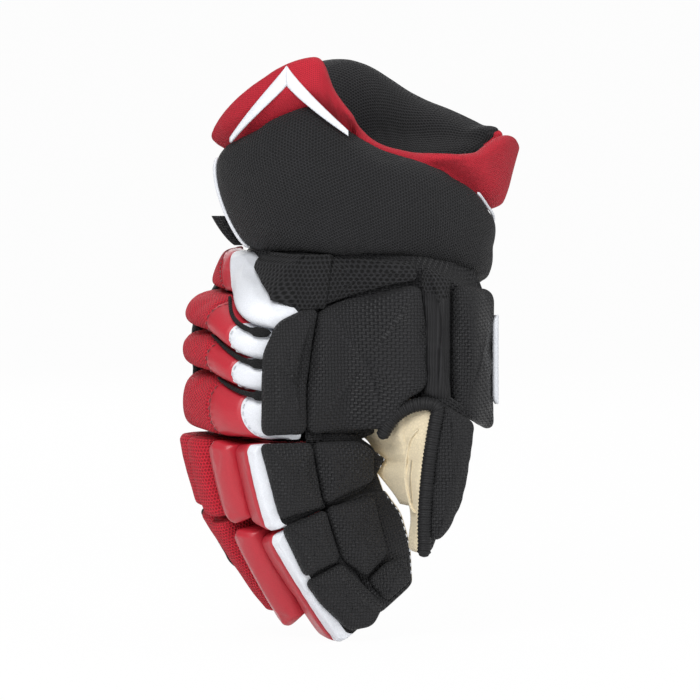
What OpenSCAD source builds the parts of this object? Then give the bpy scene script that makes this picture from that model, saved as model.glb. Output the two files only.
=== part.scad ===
// Padded hockey glove for the right hand, hanging with its fingers down.
// X runs from the back of the hand to the palm, Y from the thumb side to the little finger
// and Z up to the cuff. The origin is the middle of the cuff mouth.

/* [Hand] */
// Depth of the knuckle fold below the cuff mouth
knuckle_drop = 185; // [178:1:192]
// Depth of the wrist fold below the cuff mouth
wrist_drop = 75; // [73:0.5:77]
// Half of the width across the outer faces of the side walls
hand_half_w = 50; // [49:0.5:53]
// Distance from the cuff axis to the crown of the back
back_reach = 105; // [100:1:110]
// Distance from the cuff axis to the crown of the back at the wrist
wrist_reach = 76; // [75:0.5:80]
// Distance from the cuff axis to the palm at its side edges
palm_set = 9; // [7:0.5:11]
// Depth of the hollow of the palm
palm_hollow = 9; // [6:0.5:11]
// Distance from the cuff axis to the heel of the palm
heel_reach = 60; // [54:1:62]
// Thickness of the padding on the back of the hand
foam_t = 28; // [25:0.5:31]
// Thickness of the padding on the back of the wrist
wrist_foam_t = 17; // [15:0.5:19]
// Thickness of the padding on the sides
side_foam_t = 8; // [6:0.5:9]

/* [Layers] */
// Thickness of the lined walls
wall_t = 3; // [2:0.25:3.5]
// Thickness of the leather
leather_t = 2.4; // [1.6:0.2:3]
// Thickness of the hard inserts
plate_t = 2; // [1.5:0.25:2.5]
// Space between layers that are sewn to each other
fit = 0.5; // [0.4:0.05:0.7]
// Width of the channel between two padded rolls
channel_w = 3; // [2.4:0.2:4]
// Thickness of a piping cord
piping_d = 3; // [2:0.25:4]

/* [Back rolls] */
// Height of the first roll, next to the wrist
roll_1_h = 27; // [24:1:30]
// Height of the second roll
roll_2_h = 23; // [20:1:26]
// Height of the third roll
roll_3_h = 24; // [21:1:27]
// Drop of the first roll's upper edge at the thumb side
roll_drop_1 = 32; // [28:1:34]
// Drop of the first channel at the thumb side
roll_drop_2 = 19; // [16:1:21]
// Drop of the second channel at the thumb side
roll_drop_3 = 15; // [12:1:17]
// Drop of the third channel at the thumb side
roll_drop_4 = 10; // [7:1:12]

/* [Fingers] */
// Spacing of the fingers
finger_pitch = 26; // [25.5:0.25:27]
// Space between neighbouring fingers
finger_gap = 0.8; // [0.7:0.05:0.95]
// Distance from the finger fold to the crown of the finger
finger_back = 69; // [64:1:72]
// Distance from the finger fold to the crown at the fingertip
tip_back = 47; // [43:1:50]
// Distance from the finger fold to the palm side of the finger
finger_palm = 15; // [13:0.5:16]
// Height of the finger stall above the fold
stall_back = 25; // [23:0.5:27]
// Length of the first finger section along the fold line
first_len = 28; // [25:0.5:31]
// Length of the second finger section along the fold line
second_len = 66; // [60:1:69]
// Furthest curl of the first finger section, in degrees
first_curl = 40; // [30:1:40]
// Furthest curl of the second finger section, in degrees
second_curl = 45; // [30:1:45]
// Furthest stretch of a finger section past its rest, in degrees
stretch = 2; // [1:0.5:2]

/* [Thumb] */
// Distance from the cuff axis to the middle of the thumb, toward the thumb side
thumb_out = 74; // [73:0.5:77]
// Thickness of the thumb between its two sides
thumb_w = 24; // [21:0.5:25]
// Length of the thumb below its fold
thumb_len = 86; // [78:1:90]
// Width of the thumb at its fold, from index side to outer side
thumb_deep = 37; // [33:0.5:39]
// Spread of the thumb's inner side toward the index finger
thumb_flare = 18; // [12:1:19]
// Furthest bend of the thumb toward the fingers, in degrees
thumb_bend = 12; // [6:1:12]
// Furthest stretch of the thumb away from the fingers, in degrees
thumb_stretch = 8; // [4:1:8]

/* [Cuff] */
// Half of the cuff's size from back to palm at the mouth
cuff_deep = 96; // [92:1:99]
// Half of the cuff's size from thumb side to little finger side at the mouth
cuff_wide = 68; // [66:0.5:71]
// Half of the cuff roll's size from back to palm at the wrist
wrist_deep = 77; // [76:0.5:80]
// Half of the cuff roll's size from thumb side to little finger side at the wrist
wrist_wide = 70; // [69:0.5:73]
// Thickness of the cuff roll
cuff_roll_t = 13; // [11:0.5:13.5]
// Thickness of the padded cuff flaps
flap_t = 9; // [7:0.5:10]
// Thickness of the padded lining of the cuff
lining_t = 9; // [7:0.5:10]
// Furthest tilt of the cuff, in degrees
cuff_tilt = 3; // [1:0.5:3]

/* [Hidden] */

red = [0.72, 0.12, 0.18];
mesh_red = [0.66, 0.1, 0.15];
white = [0.92, 0.93, 0.96];
black = [0.14, 0.14, 0.15];
mesh_black = [0.2, 0.2, 0.21];
suede = [0.86, 0.8, 0.66];
plastic = [0.55, 0.57, 0.6];

// Fingers in order from the index to the little finger
INDEX = 0;
MIDDLE = 1;
RING = 2;
LITTLE = 3;
// How far each finger's fold lies behind the index finger's
finger_set = [0, 8, 9, 2];
// Length of each finger as a share of the index finger
finger_share = [1, 0.96, 0.9, 0.76];
// Distance from the cuff axis back to the index finger's fold
fold_set = 26;
// Lean of each section toward the palm, and of the folds at its end
first_lean = 8;
second_lean = 21;
second_tilt = 22;
tip_tilt = 39;
// Clearance at a fold, on each side of it
fold_gap = 0.2;

finger_half_w = (finger_pitch - finger_gap) / 2;
knuckle_z = -knuckle_drop;
wrist_z = -wrist_drop;
// Room that the tilting cuff needs above the pieces of the hand
cuff_room = wrist_deep * sin(cuff_tilt) + fit;
// Lowest level of the hand's own pieces on the back
hand_floor = knuckle_z + fold_gap + finger_back * tan(stretch / 2 + 0.2);

function clamp01(t) = min(1, max(0, t));
function smooth(t) = let (c = clamp01(t)) c * c * (3 - 2 * c);
function mix(a, b, t) = a + (b - a) * t;
function unit(v) = v / norm(v);
function sum_points(list) = [for (k = [0:2]) [for (p = list) p[k]] * [for (p = list) 1]];
function middle_of(list) = sum_points(list) / len(list);
// Value at t of a smooth curve through a list of [position, value] pairs
function slope_at(list, i) =
    let (a = list[max(i - 1, 0)], b = list[min(i + 1, len(list) - 1)])
    (b[1] - a[1]) / (b[0] - a[0]);
function curve_part(list, i, u) =
    let (h = list[i + 1][0] - list[i][0])
    mix(list[i][1], list[i + 1][1], smooth(u))
    + h * u * (1 - u) * ((1 - u) * slope_at(list, i) - u * slope_at(list, i + 1));
function curve_at(list, t, i = 0) =
    t <= list[0][0] ? list[0][1] :
    i >= len(list) - 1 ? list[len(list) - 1][1] :
    t <= list[i + 1][0] ? curve_part(list, i, (t - list[i][0]) / (list[i + 1][0] - list[i][0])) :
    curve_at(list, t, i + 1);

// Outline with rounded corners and a few points along each edge
function rounded(corners, r, cuts = 1) = [
    for (i = [0:len(corners) - 1])
        let (p = corners[i],
             a = corners[(i + len(corners) - 1) % len(corners)],
             b = corners[(i + 1) % len(corners)],
             ua = unit(a - p),
             ub = unit(b - p))
        each concat([p + ua * r, p + (ua + ub) * r * 0.3, p + ub * r],
                    [for (k = [1:cuts]) mix(p + ub * r, b - ub * r, k / (cuts + 1))])
];

// Signed volume under a set of triangles, which tells how they are turned
function fan_volume(points, faces) =
    [for (f = faces) cross(points[f[0]], points[f[1]]) * points[f[2]]] * [for (f = faces) 1];
function turned(points, faces) =
    fan_volume(points, faces) > 0 ? [for (f = faces) [f[2], f[1], f[0]]] : faces;
function quad(a, b, c, d) = [[a, b, c], [a, c, d]];

module skin(points, faces) {
    polyhedron(points = points, faces = turned(points, faces), convexity = 6);
}

// Solid through a row of closed rings, with flat ends
module loft(rings) {
    n = len(rings[0]);
    m = len(rings);
    points = concat([for (r = rings) each r], [middle_of(rings[0]), middle_of(rings[m - 1])]);
    sides = [for (i = [0:m - 2], j = [0:n - 1])
        each quad(i * n + j, i * n + (j + 1) % n, (i + 1) * n + (j + 1) % n, (i + 1) * n + j)];
    first_end = [for (j = [0:n - 1]) [m * n, (j + 1) % n, j]];
    last_end = [for (j = [0:n - 1]) [m * n + 1, (m - 1) * n + j, (m - 1) * n + (j + 1) % n]];
    skin(points, concat(sides, first_end, last_end));
}

// Sheet between two grids of points, such as a wall and its inner face
module sheet(outer, inner) {
    m = len(outer);
    n = len(outer[0]);
    k = m * n;
    points = concat([for (r = outer) each r], [for (r = inner) each r]);
    faces = concat(
        [for (i = [0:m - 2], j = [0:n - 2])
            each quad(i * n + j, i * n + j + 1, (i + 1) * n + j + 1, (i + 1) * n + j)],
        [for (i = [0:m - 2], j = [0:n - 2])
            each quad(k + i * n + j, k + (i + 1) * n + j, k + (i + 1) * n + j + 1, k + i * n + j + 1)],
        [for (j = [0:n - 2]) each quad(j, k + j, k + j + 1, j + 1)],
        [for (j = [0:n - 2])
            each quad((m - 1) * n + j, (m - 1) * n + j + 1, k + (m - 1) * n + j + 1, k + (m - 1) * n + j)],
        [for (i = [0:m - 2]) each quad(i * n, (i + 1) * n, k + (i + 1) * n, k + i * n)],
        [for (i = [0:m - 2])
            each quad(i * n + n - 1, k + i * n + n - 1, k + (i + 1) * n + n - 1, (i + 1) * n + n - 1)]);
    skin(points, faces);
}

// Open tube between outer and inner rings. A closed tube ends in a solid tip.
module tube(outer, inner, closed = false) {
    m = len(outer);
    p = len(inner);
    n = len(outer[0]);
    k = m * n;
    e = k + p * n;
    points = concat([for (r = outer) each r], [for (r = inner) each r],
                    [middle_of(outer[m - 1]), middle_of(inner[p - 1])]);
    outside = [for (i = [0:m - 2], j = [0:n - 1])
        each quad(i * n + j, i * n + (j + 1) % n, (i + 1) * n + (j + 1) % n, (i + 1) * n + j)];
    inside = [for (i = [0:p - 2], j = [0:n - 1])
        each quad(k + i * n + j, k + (i + 1) * n + j,
                  k + (i + 1) * n + (j + 1) % n, k + i * n + (j + 1) % n)];
    mouth = [for (j = [0:n - 1]) each quad(j, k + j, k + (j + 1) % n, (j + 1) % n)];
    far = closed
        ? concat([for (j = [0:n - 1]) [e, (m - 1) * n + j, (m - 1) * n + (j + 1) % n]],
                 [for (j = [0:n - 1]) [e + 1, k + (p - 1) * n + (j + 1) % n, k + (p - 1) * n + j]])
        : [for (j = [0:n - 1]) each quad((m - 1) * n + j, (m - 1) * n + (j + 1) % n,
                                         k + (p - 1) * n + (j + 1) % n, k + (p - 1) * n + j)];
    used = closed ? points : [for (i = [0:e - 1]) points[i]];
    skin(used, concat(outside, inside, mouth, far));
}

// Cushion on a flat outline: [share of the outline, share of the height] of each ring
pad_rings = [[0.5, 0], [0.95, 0], [1, 0.3], [0.98, 0.65], [0.87, 0.9], [0.55, 1]];
// place turns an outline point and a height into a point of the model
module pad(outline, height, place) {
    c = [[for (p = outline) p.x] * [for (p = outline) 1], [for (p = outline) p.y] * [for (p = outline) 1]]
        / len(outline);
    loft([for (r = pad_rings) [for (p = outline) place(mix(c, p, r[0]), height * r[1])]]);
}

// Cord of round section along a list of points
cord_sides = 8;
module cord(path, d) {
    last = len(path) - 1;
    loft([for (i = [0:last])
        let (along = unit(path[min(i + 1, last)] - path[max(i - 1, 0)]),
             side = unit(cross(along, abs(along.y) > 0.8 ? [1, 0, 0] : [0, 1, 0])),
             up = cross(side, along))
        [for (j = [0:cord_sides - 1])
            path[i] + (side * cos(360 * j / cord_sides) + up * sin(360 * j / cord_sides)) * d / 2]]);
}

// Back of the hand
arch_base = 40;
arch_w = hand_half_w + 14;
arch_power = 2.4;
taper_len = 42;
function wrist_share(z) = smooth((z - wrist_z + taper_len) / taper_len);
function crown(z) = mix(back_reach, wrist_reach, wrist_share(z));
function foam(z) = mix(foam_t, wrist_foam_t, wrist_share(z));
function arch(y) = pow(1 - pow(abs(y) / arch_w, arch_power), 1 / arch_power);
function back_x(y, z) = -arch_base - (crown(z) - arch_base) * arch(y);
// Face of the liner, and the face that the rolls are sewn to over the hard plate
function bed_x(y, z) = back_x(y, z) + foam(z);
function roll_bed(y, z) = bed_x(y, z) - plate_t - 2 * fit;
roll_half_w = hand_half_w + 0.5;
roll_stations = 12;
hand_top = wrist_z - cuff_room;

// Edges between the rolls, from the wrist down, as [level on the back, drop at the thumb side]
roll_edges = [
    [hand_top, roll_drop_1],
    [hand_top - roll_1_h, roll_drop_2],
    [hand_top - roll_1_h - roll_2_h, roll_drop_3],
    [hand_top - roll_1_h - roll_2_h - roll_3_h, roll_drop_4],
    [hand_floor - channel_w / 2, 0]
];
function roll_edge(i, y) = roll_edges[i][0] - roll_edges[i][1] * smooth(-y / roll_half_w);
function roll_end(y) = pow(1 - 0.75 * pow(abs(y) / roll_half_w, 8), 0.5);

// Padded roll round the back between two levels
module back_pad(low, high, depth_share, from = -roll_half_w, to = roll_half_w) {
    loft([for (i = [0:roll_stations])
        let (y = mix(from, to, i / roll_stations),
             z0 = low(y),
             z1 = high(y),
             zc = (z0 + z1) / 2,
             hz = (z1 - z0) / 2,
             t = (foam(zc) - plate_t - 2 * fit) * depth_share * roll_end(y))
        concat([for (a = [0:22.5:180])
                   let (z = zc + hz * cos(a))
                   [roll_bed(y, z) - t * pow(sin(a), 0.6), y, z]],
               [for (s = [-0.6, 0, 0.6]) [roll_bed(y, zc + hz * s), y, zc + hz * s]])]);
}

module back_roll(i) {
    back_pad(function(y) roll_edge(i, y) + channel_w / 2, function(y) roll_edge(i - 1, y) - channel_w / 2, 1);
}

module back_roll_1() { color(red) back_roll(1); }
module back_roll_2() { color(red) back_roll(2); }
module back_roll_3() { color(red) back_roll(3); }
module back_roll_4() { color(red) back_roll(4); }

// Welts in the channels between the rolls
welt_stand = 7;
welt_half_w = roll_half_w - 2;
function welt_face(e, half) = [for (i = [0:roll_stations])
    let (y = mix(-welt_half_w, welt_half_w, i / roll_stations),
         z = roll_edge(e, y),
         x = roll_bed(y, z))
    [[x, y, z + half], [x - welt_stand, y, z + half * 0.6]]];
module roll_welts() {
    half = channel_w / 2 - fit;
    color(black)
    for (e = [1:3])
        sheet(welt_face(e, half), welt_face(e, -half));
}

// Mesh panel that fills the corner between the first roll and the cuff
panel_share = 0.72;
panel_end = -6;
module wrist_back_panel() {
    color(mesh_black)
    back_pad(function(y) roll_edge(0, y) + channel_w / 2, function(y) hand_top, panel_share,
             -roll_half_w, panel_end);
}

// Liner and hard plate under the rolls
liner_half_w = hand_half_w - wall_t - fit;
liner_rows = 8;
function liner_face(depth, half, low, high) = [for (i = [0:liner_rows])
    [for (j = [0:liner_rows])
        let (y = mix(-half, half, j / liner_rows), z = mix(low, high, i / liner_rows))
        [bed_x(y, z) + depth, y, z]]];

module back_liner() {
    color(suede)
    sheet(liner_face(0, liner_half_w, hand_floor, hand_top),
          liner_face(wall_t, liner_half_w, hand_floor, hand_top));
}

plate_half_w = hand_half_w - 14;
module backhand_plate() {
    low = hand_floor + 4;
    high = roll_edges[1][0];
    color(plastic)
    sheet(liner_face(-plate_t - fit, plate_half_w, low, high), liner_face(-fit, plate_half_w, low, high));
}

// Palm
function heel_share(z) = smooth((z - wrist_z + 72) / 66);
function palm_x(y, z) =
    mix(-palm_set - palm_hollow * (1 - pow(y / hand_half_w, 2)), heel_reach, heel_share(z));
// The palm's leather ends above the folds, with room for the curled fingers
palm_low = knuckle_z + fold_gap + (finger_palm + 3) * tan(first_curl / 2 + stretch / 2 + 1);
thenar_y = -14;
thenar_low = knuckle_z + 40;
palm_rows = 8;
function palm_face(depth, y0, y1, z0, z1) = [for (i = [0:palm_rows])
    [for (j = [0:palm_rows])
        let (y = mix(y0, y1, j / palm_rows), z = mix(z0, z1, i / palm_rows))
        [palm_x(y, z) + depth, y, z]]];

module palm_panel() {
    half = hand_half_w - wall_t - fit;
    color(suede) {
        sheet(palm_face(0, thenar_y, half, thenar_low, hand_top),
              palm_face(-leather_t, thenar_y, half, thenar_low, hand_top));
        sheet(palm_face(0, -half, half, palm_low, thenar_low - fit),
              palm_face(-leather_t, -half, half, palm_low, thenar_low - fit));
    }
}

patch_t = 1.5;
module palm_patch() {
    color(suede * 0.94)
    sheet(palm_face(fit + patch_t, -30, 38, palm_low + 3, thenar_low - 6),
          palm_face(fit, -30, 38, palm_low + 3, thenar_low - 6));
}

// Outer face of the thumb side, which swings out to the thumb
thumb_face = thumb_out + 4;
web_from = -40;
web_to = 4;
round_from = 30;
round_len = 26;
round_in = 18;
function side_y(x) = -(hand_half_w + fit)
    - (thumb_face - hand_half_w) * smooth((x - web_from) / (web_to - web_from))
    + round_in * smooth((x - round_from) / round_len);
side_place = function(p, h) [p.x, side_y(p.x) - h, p.y];

// Back edge of the side walls, just in front of the rolls, from the wrist down
wall_rows = 8;
wall_back = [for (i = [0:wall_rows])
    let (z = mix(hand_top, hand_floor, i / wall_rows))
    [bed_x(hand_half_w, z), z]];
// Lowest point of a side wall, on the fold of the finger beside it
function wall_notch(f) = [-fold_set - finger_set[f], knuckle_z + fold_gap];
module thumb_side_wall() {
    color(black)
    translate([0, -hand_half_w + wall_t, 0]) rotate([90, 0, 0])
    linear_extrude(wall_t)
    polygon(concat([[web_from, hand_top]], wall_back,
                   [wall_notch(INDEX), [-palm_set, palm_low], [-palm_set, thenar_low],
                    [web_from, thenar_low]]));
}

module little_side_wall() {
    color(black)
    translate([0, hand_half_w, 0]) rotate([90, 0, 0])
    linear_extrude(wall_t)
    polygon(concat(wall_back, [wall_notch(LITTLE)],
                   [for (i = [0:palm_rows]) let (z = mix(palm_low, hand_top, i / palm_rows))
                       [palm_x(hand_half_w, z), z]]));
}

// Fold between the thumb and the hand, seen from the thumb side
thumb_fold = [12, knuckle_z + 26];
fold_slope = 23;
thumb_lean = -7;
function thumb_fold_z(x) = thumb_fold.y - (x - thumb_fold.x) * tan(fold_slope);
gusset_back = web_from + fit;
gusset_front = heel_reach - 2;
gusset_cols = 20;
gusset_rows = 4;
gusset_set = 1.2;
seat_gap = 0.3;
// Lower edge of the gusset, round the web and then along the thumb's fold
web_low = [[-26, thenar_low + fit], [-24, knuckle_z + 19], [-12, knuckle_z + 29],
           [0, thumb_fold_z(0) + seat_gap]];
function side_slope(x) = side_y(x + 0.5) - side_y(x - 0.5);
function gusset_low(x) = x < 0 ? curve_at(web_low, x) : thumb_fold_z(x) + seat_gap;
// The hand's upper edge drops toward the thumb, under the lower end of the cuff roll
rim_drop = 20;
function hand_rim(x) = hand_top - rim_drop * smooth((x - 5) / 40);
function gusset_face(depth) = [for (i = [0:gusset_rows])
    [for (j = [0:gusset_cols])
        let (x = mix(gusset_back, gusset_front, j / gusset_cols),
             z = mix(gusset_low(x), hand_rim(x), i / gusset_rows))
        [x, side_y(x) + gusset_set + depth, z]]];
module thumb_gusset() {
    color(black) sheet(gusset_face(0), gusset_face(wall_t));
}

// Leather round the ball of the thumb, from the gusset's front edge to the palm
function thenar_point(t, z, depth) =
    let (front = [gusset_front - depth, side_y(gusset_front) + gusset_set + wall_t + fit],
         inner = [palm_x(thenar_y, z) - depth, thenar_y - fit],
         bulge = 10 * sin(180 * t))
    [mix(front.x, inner.x, smooth(t)) + bulge * 0.4, mix(front.y, inner.y, t) + bulge * 0.6, z];
function thenar_face(depth) = [for (i = [0:palm_rows])
    [for (j = [0:palm_rows])
        thenar_point(j / palm_rows, mix(thenar_low + fit, hand_rim(gusset_front), i / palm_rows), depth)]];
module thenar_panel() {
    color(suede) sheet(thenar_face(0), thenar_face(leather_t));
}

// Pads on the thumb side, as outlines seen from that side
pad_top = hand_top - 1;
pad_back = -back_reach + 18;
pad_low = hand_floor + 4;
narrow_pad = [[pad_back + 10, hand_top - 33], [-60, hand_top - 26], [-53, hand_top - 26], [-60, knuckle_z + 35],
              [-62, pad_low], [pad_back, pad_low], [pad_back + 1, knuckle_z + 55]];
web_outline = [[-51, hand_top - 27], [0, hand_top - 11], [web_to, hand_top - 36], [web_to, knuckle_z + 35],
               [-8, knuckle_z + 27], [-15, palm_low + 3], [-58, pad_low], [-57, knuckle_z + 35]];
side_panel = [[-wrist_reach + 4, pad_top], [-1, pad_top - 2], [-1, hand_top - 8], [-50, hand_top - 23],
              [-wrist_reach + 3, hand_top - 28]];
column_pad = [[3, hand_rim(3) - 1], [19, hand_rim(19) - 2], [20, thumb_fold_z(20) - seat_gap],
              [5, thumb_fold_z(5) - seat_gap]];
base_front = gusset_front - 2;
base_pad = [[23, hand_rim(23) - 3], [base_front, hand_rim(base_front) - 2],
            [base_front, thumb_fold_z(base_front) + 2], [23, thumb_fold_z(23) + 2]];

module narrow_side_pad() {
    color(black) pad(rounded(narrow_pad, 4), side_foam_t, side_place);
}
module web_pad() {
    color(black) pad(rounded(web_outline, 4, 2), side_foam_t, side_place);
}
module wrist_side_panel() {
    color(mesh_black) pad(rounded(side_panel, 2, 2), side_foam_t * 0.7, side_place);
}
module thumb_column_pad() {
    color(black) pad(rounded(column_pad, 4), side_foam_t, side_place);
}
module thumb_base_pad() {
    color(black) pad(rounded(base_pad, 5, 3), side_foam_t, side_place);
}

// White stripe along the front edge of the thumb base
stripe_w = 5;
module thumb_stripe() {
    x = gusset_front + fit;
    y = side_y(gusset_front) + fit;
    color(white)
    translate([x, y, thumb_fold_z(base_front) + 14])
    cube([plate_t, stripe_w, 52]);
}

little_pad = [[pad_back + 3, hand_top - 40], [-wrist_reach + 14, hand_top - 8], [-40, hand_top - 4],
              [-22, hand_top - 30], [-24, palm_low + 4], [-40, hand_floor + 3], [pad_back + 3, hand_floor + 3]];
little_place = function(p, h) [p.x, hand_half_w + fit + h, p.y];
module little_side_pad() {
    color(black) pad(rounded(little_pad, 6), side_foam_t, little_place);
}

// Rolled binding round the web between the index finger and the thumb
binding_d = 8;
module web_binding() {
    color(black)
    cord([for (x = [-17:2.5:-7])
             [x, side_y(x) + gusset_set + wall_t + (binding_d / 2 + seat_gap) * sqrt(1 + pow(side_slope(x), 2)),
              gusset_low(x) + 3]], binding_d);
}

// Cuff
mouth_z = -17;
cuff_shift_y = -4;
function cuff_share(z) = clamp01((z - wrist_z) / (mouth_z - wrist_z));
function cuff_a(z) = mix(wrist_deep, cuff_deep, cuff_share(z));
function cuff_b(z) = mix(wrist_wide, cuff_wide, cuff_share(z));
function cuff_x(z) = mix(2, 0.7, cuff_share(z));
// Point of the cuff at an angle from the back, negative toward the thumb, inside its outer face
function cuff_point(angle, z, inset) = [
    cuff_x(z) - (cuff_a(z) - inset) * cos(angle),
    cuff_shift_y + (cuff_b(z) - inset) * sin(angle),
    z
];
roll_from = -172;
roll_to = 105;
roll_top_steps = [[-172, -64], [-139, -49], [-124, -37], [-111, -28], [-100, -21.5], [-79, -11], [-64, 2],
                  [-52, 12.5], [-40, 9.5], [-22, -0.5], [0, -11], [17, -18], [105, -22]];
roll_low_steps = [[-172, wrist_z - 25], [-130, wrist_z - 13], [-100, wrist_z - 4], [-75, wrist_z + 0.5],
                  [-40, wrist_z + 0.5], [105, wrist_z + 0.5]];
rim_steps = [[-180, -12], [-162, -14], [-150, -9], [-137, -10], [-121, -17.5], [-104, -20.5], [-90, -17],
             [-76, -9], [-66, 8], [-60, 24], [-56, 38], [-52, 41.5], [-41, 37.5], [-27, 27], [-8, 11],
             [3, 1], [18, -10], [32, -8], [60, 14], [90, 28], [104, 28], [127, 13], [178, -11]];
function roll_top(angle) = curve_at(roll_top_steps, angle);
function roll_low(angle) = curve_at(roll_low_steps, angle);
function rim(angle) = curve_at(rim_steps, angle);

module cuff_roll() {
    steps = 30;
    color(mesh_black)
    loft([for (i = [0:steps])
        let (angle = mix(roll_from, roll_to, i / steps),
             end = pow(1 - 0.7 * pow(abs(2 * i / steps - 1), 12), 0.5),
             zc = (roll_top(angle) + roll_low(angle)) / 2,
             hz = (roll_top(angle) - roll_low(angle)) / 2)
        concat([for (a = [0:30:180])
                   cuff_point(angle, zc + hz * cos(a), cuff_roll_t * (1 - pow(sin(a), 0.7) * end))],
               [for (s = [-0.6, 0, 0.6]) cuff_point(angle, zc + hz * s, cuff_roll_t)])]);
}

// Lining sleeve that joins the hand to the cuff, inside the roll
sleeve_top = wrist_z + 8;
sleeve_steps = 36;
function sleeve_room(angle, z) =
    fit + abs(z - wrist_z) * tan(cuff_tilt + 0.5) + 0.4 * abs(cos(angle));
function sleeve_ring(z, depth) = [for (i = [0:sleeve_steps - 1])
    let (angle = 360 * i / sleeve_steps,
         p = cuff_point(angle, wrist_z, cuff_roll_t + sleeve_room(angle, z) + depth))
    [p.x, p.y, z]];
module wrist_sleeve() {
    levels = [hand_top + seat_gap, wrist_z, sleeve_top];
    color(black)
    tube([for (z = levels) sleeve_ring(z, 0)], [for (z = levels) sleeve_ring(z, leather_t)]);
}

// Flaps stand inside the roll and swell out over its upper edge
flap_base = wrist_z + 20;
palm_flap_base = wrist_z + 13;
swell = 7;
function flap_low(angle) = mix(flap_base, palm_flap_base, smooth((angle - roll_to - 4) / 12));
function flap_inset(angle, z) =
    mix(piping_d / 2, cuff_roll_t + 1.6 * fit, smooth((roll_top(angle) + swell + 1 - z) / swell));
// Levels of a flap at an angle: two inside the roll, then even steps up to the rim
function flap_levels(angle) =
    let (low = flap_low(angle), high = rim(angle), base = min(roll_top(angle) + 1, high - 3))
    concat([low, mix(low, base, 0.5)], [for (t = [0:0.2:1]) mix(base, high, t)]);
flap_last = 7;
function flap_face(from, to, steps, depth) = [for (i = [0:steps])
    let (angle = mix(from, to, i / steps), levels = flap_levels(angle))
    [for (j = [0:flap_last])
        let (edge = flap_t * 0.3 * pow(j / flap_last, 6))
        cuff_point(angle, levels[j], flap_inset(angle, levels[j]) + (depth > 0 ? depth - edge : edge))]];
module flap(from, to, steps) {
    sheet(flap_face(from, to, steps, 0), flap_face(from, to, steps, flap_t));
}
flap_split_thumb = -68;
flap_split_back = 28;
flap_end = 180;
split_gap = 0.5;
module cuff_back_flap() { color(red) flap(flap_split_thumb + split_gap, flap_split_back - split_gap, 14); }
module cuff_thumb_flap() { color(red) flap(-flap_end + 2, flap_split_thumb - split_gap, 18); }
module cuff_little_flap() { color(red) flap(flap_split_back + split_gap, flap_end - 4, 20); }

// Padded mesh lining inside the little finger's flap
function lining_face(depth) = [for (i = [0:16])
    let (angle = mix(64, flap_end - 5, i / 16),
         end = pow(abs(i / 8 - 1), 8))
    [for (j = [1:flap_last])
        let (z = flap_levels(angle)[j],
             soft = max(pow(abs(2 * (j - 1) / (flap_last - 1) - 1), 6), end) * lining_t * 0.35)
        cuff_point(angle, z, flap_inset(angle, z) + flap_t + fit + (depth > 0 ? depth - soft : 0))]];
module cuff_lining() { color(mesh_black) sheet(lining_face(0), lining_face(lining_t)); }

// Hard insert behind the back flap
function insert_face(depth) = [for (i = [0:12])
    let (angle = mix(-42, 18, i / 12))
    [for (j = [0:flap_last - 1])
        let (z = flap_levels(angle)[j])
        cuff_point(angle, z, flap_inset(angle, z) + flap_t + 2 * fit + depth)]];
module cuff_insert() { color(plastic) sheet(insert_face(0), insert_face(plate_t)); }

// Chevron on the back flap, sewn on as two tapered legs that meet at a peak
chevron_t = 1;
chevron_peak = -43;
chevron_half = [21, 27];
chevron_stand = 1.1;
function chevron_leg(leg, depth) = [for (i = [0:8])
    let (t = i / 8,
         side = leg == 0 ? -1 : 1,
         angle = chevron_peak + side * mix(0.2, chevron_half[leg], t),
         foot = chevron_peak + side * chevron_half[leg],
         top = mix(rim(chevron_peak) - 3, roll_top(foot) + swell + 8, pow(t, 0.9)),
         band = mix(10, 3, t))
    [for (j = [0, 0.5, 1])
        let (z = top - band * j)
        cuff_point(angle, z, flap_inset(angle, z) - chevron_stand - depth)]];
module cuff_chevron() {
    color(white)
    for (leg = [0, 1])
        sheet(chevron_leg(leg, chevron_t), chevron_leg(leg, 0));
}

// Piping along the ends of the roll
piping_turn = (piping_d / 2 + fit) / wrist_deep * 180 / PI;
module cuff_piping() {
    color(white)
    for (angle = [roll_from - piping_turn, roll_to + piping_turn])
        cord([for (i = [0:6])
                 let (z = mix(roll_low(angle) + 3, roll_top(angle) - 3, i / 6))
                 cuff_point(angle, z, cuff_roll_t * 0.6)], piping_d);
}

// Depth of the roll's outer face inside the cuff's outline
function roll_inset(angle, z) =
    let (zc = (roll_top(angle) + roll_low(angle)) / 2, hz = (roll_top(angle) - roll_low(angle)) / 2)
    cuff_roll_t * (1 - pow(max(0, 1 - pow((z - zc) / hz, 2)), 0.35));
label_h = 20;
module label_tab() {
    angle = 14;
    level = roll_low(angle) + label_h * 0.7;
    at = cuff_point(angle, level, roll_inset(angle, level + label_h / 2) - plate_t - 3 * fit);
    color(black)
    translate(at) rotate([0, 0, -angle]) cube([plate_t / 2, 12, label_h], center = true);
}

// Fingers. Points lie between two folds, at a distance behind the fold line.
function behind(tilt) = [-cos(tilt), -sin(tilt)];
function along(tilt) = [sin(tilt), -cos(tilt)];
function finger_y(f) = (f - 1.5) * finger_pitch;
function fold_0(f) = [-fold_set - finger_set[f], knuckle_z];
function fold_1(f) = fold_0(f) + finger_share[f] * first_len * along(first_lean);
function fold_2(f) = fold_1(f) + finger_share[f] * second_len * along(second_lean);
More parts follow.
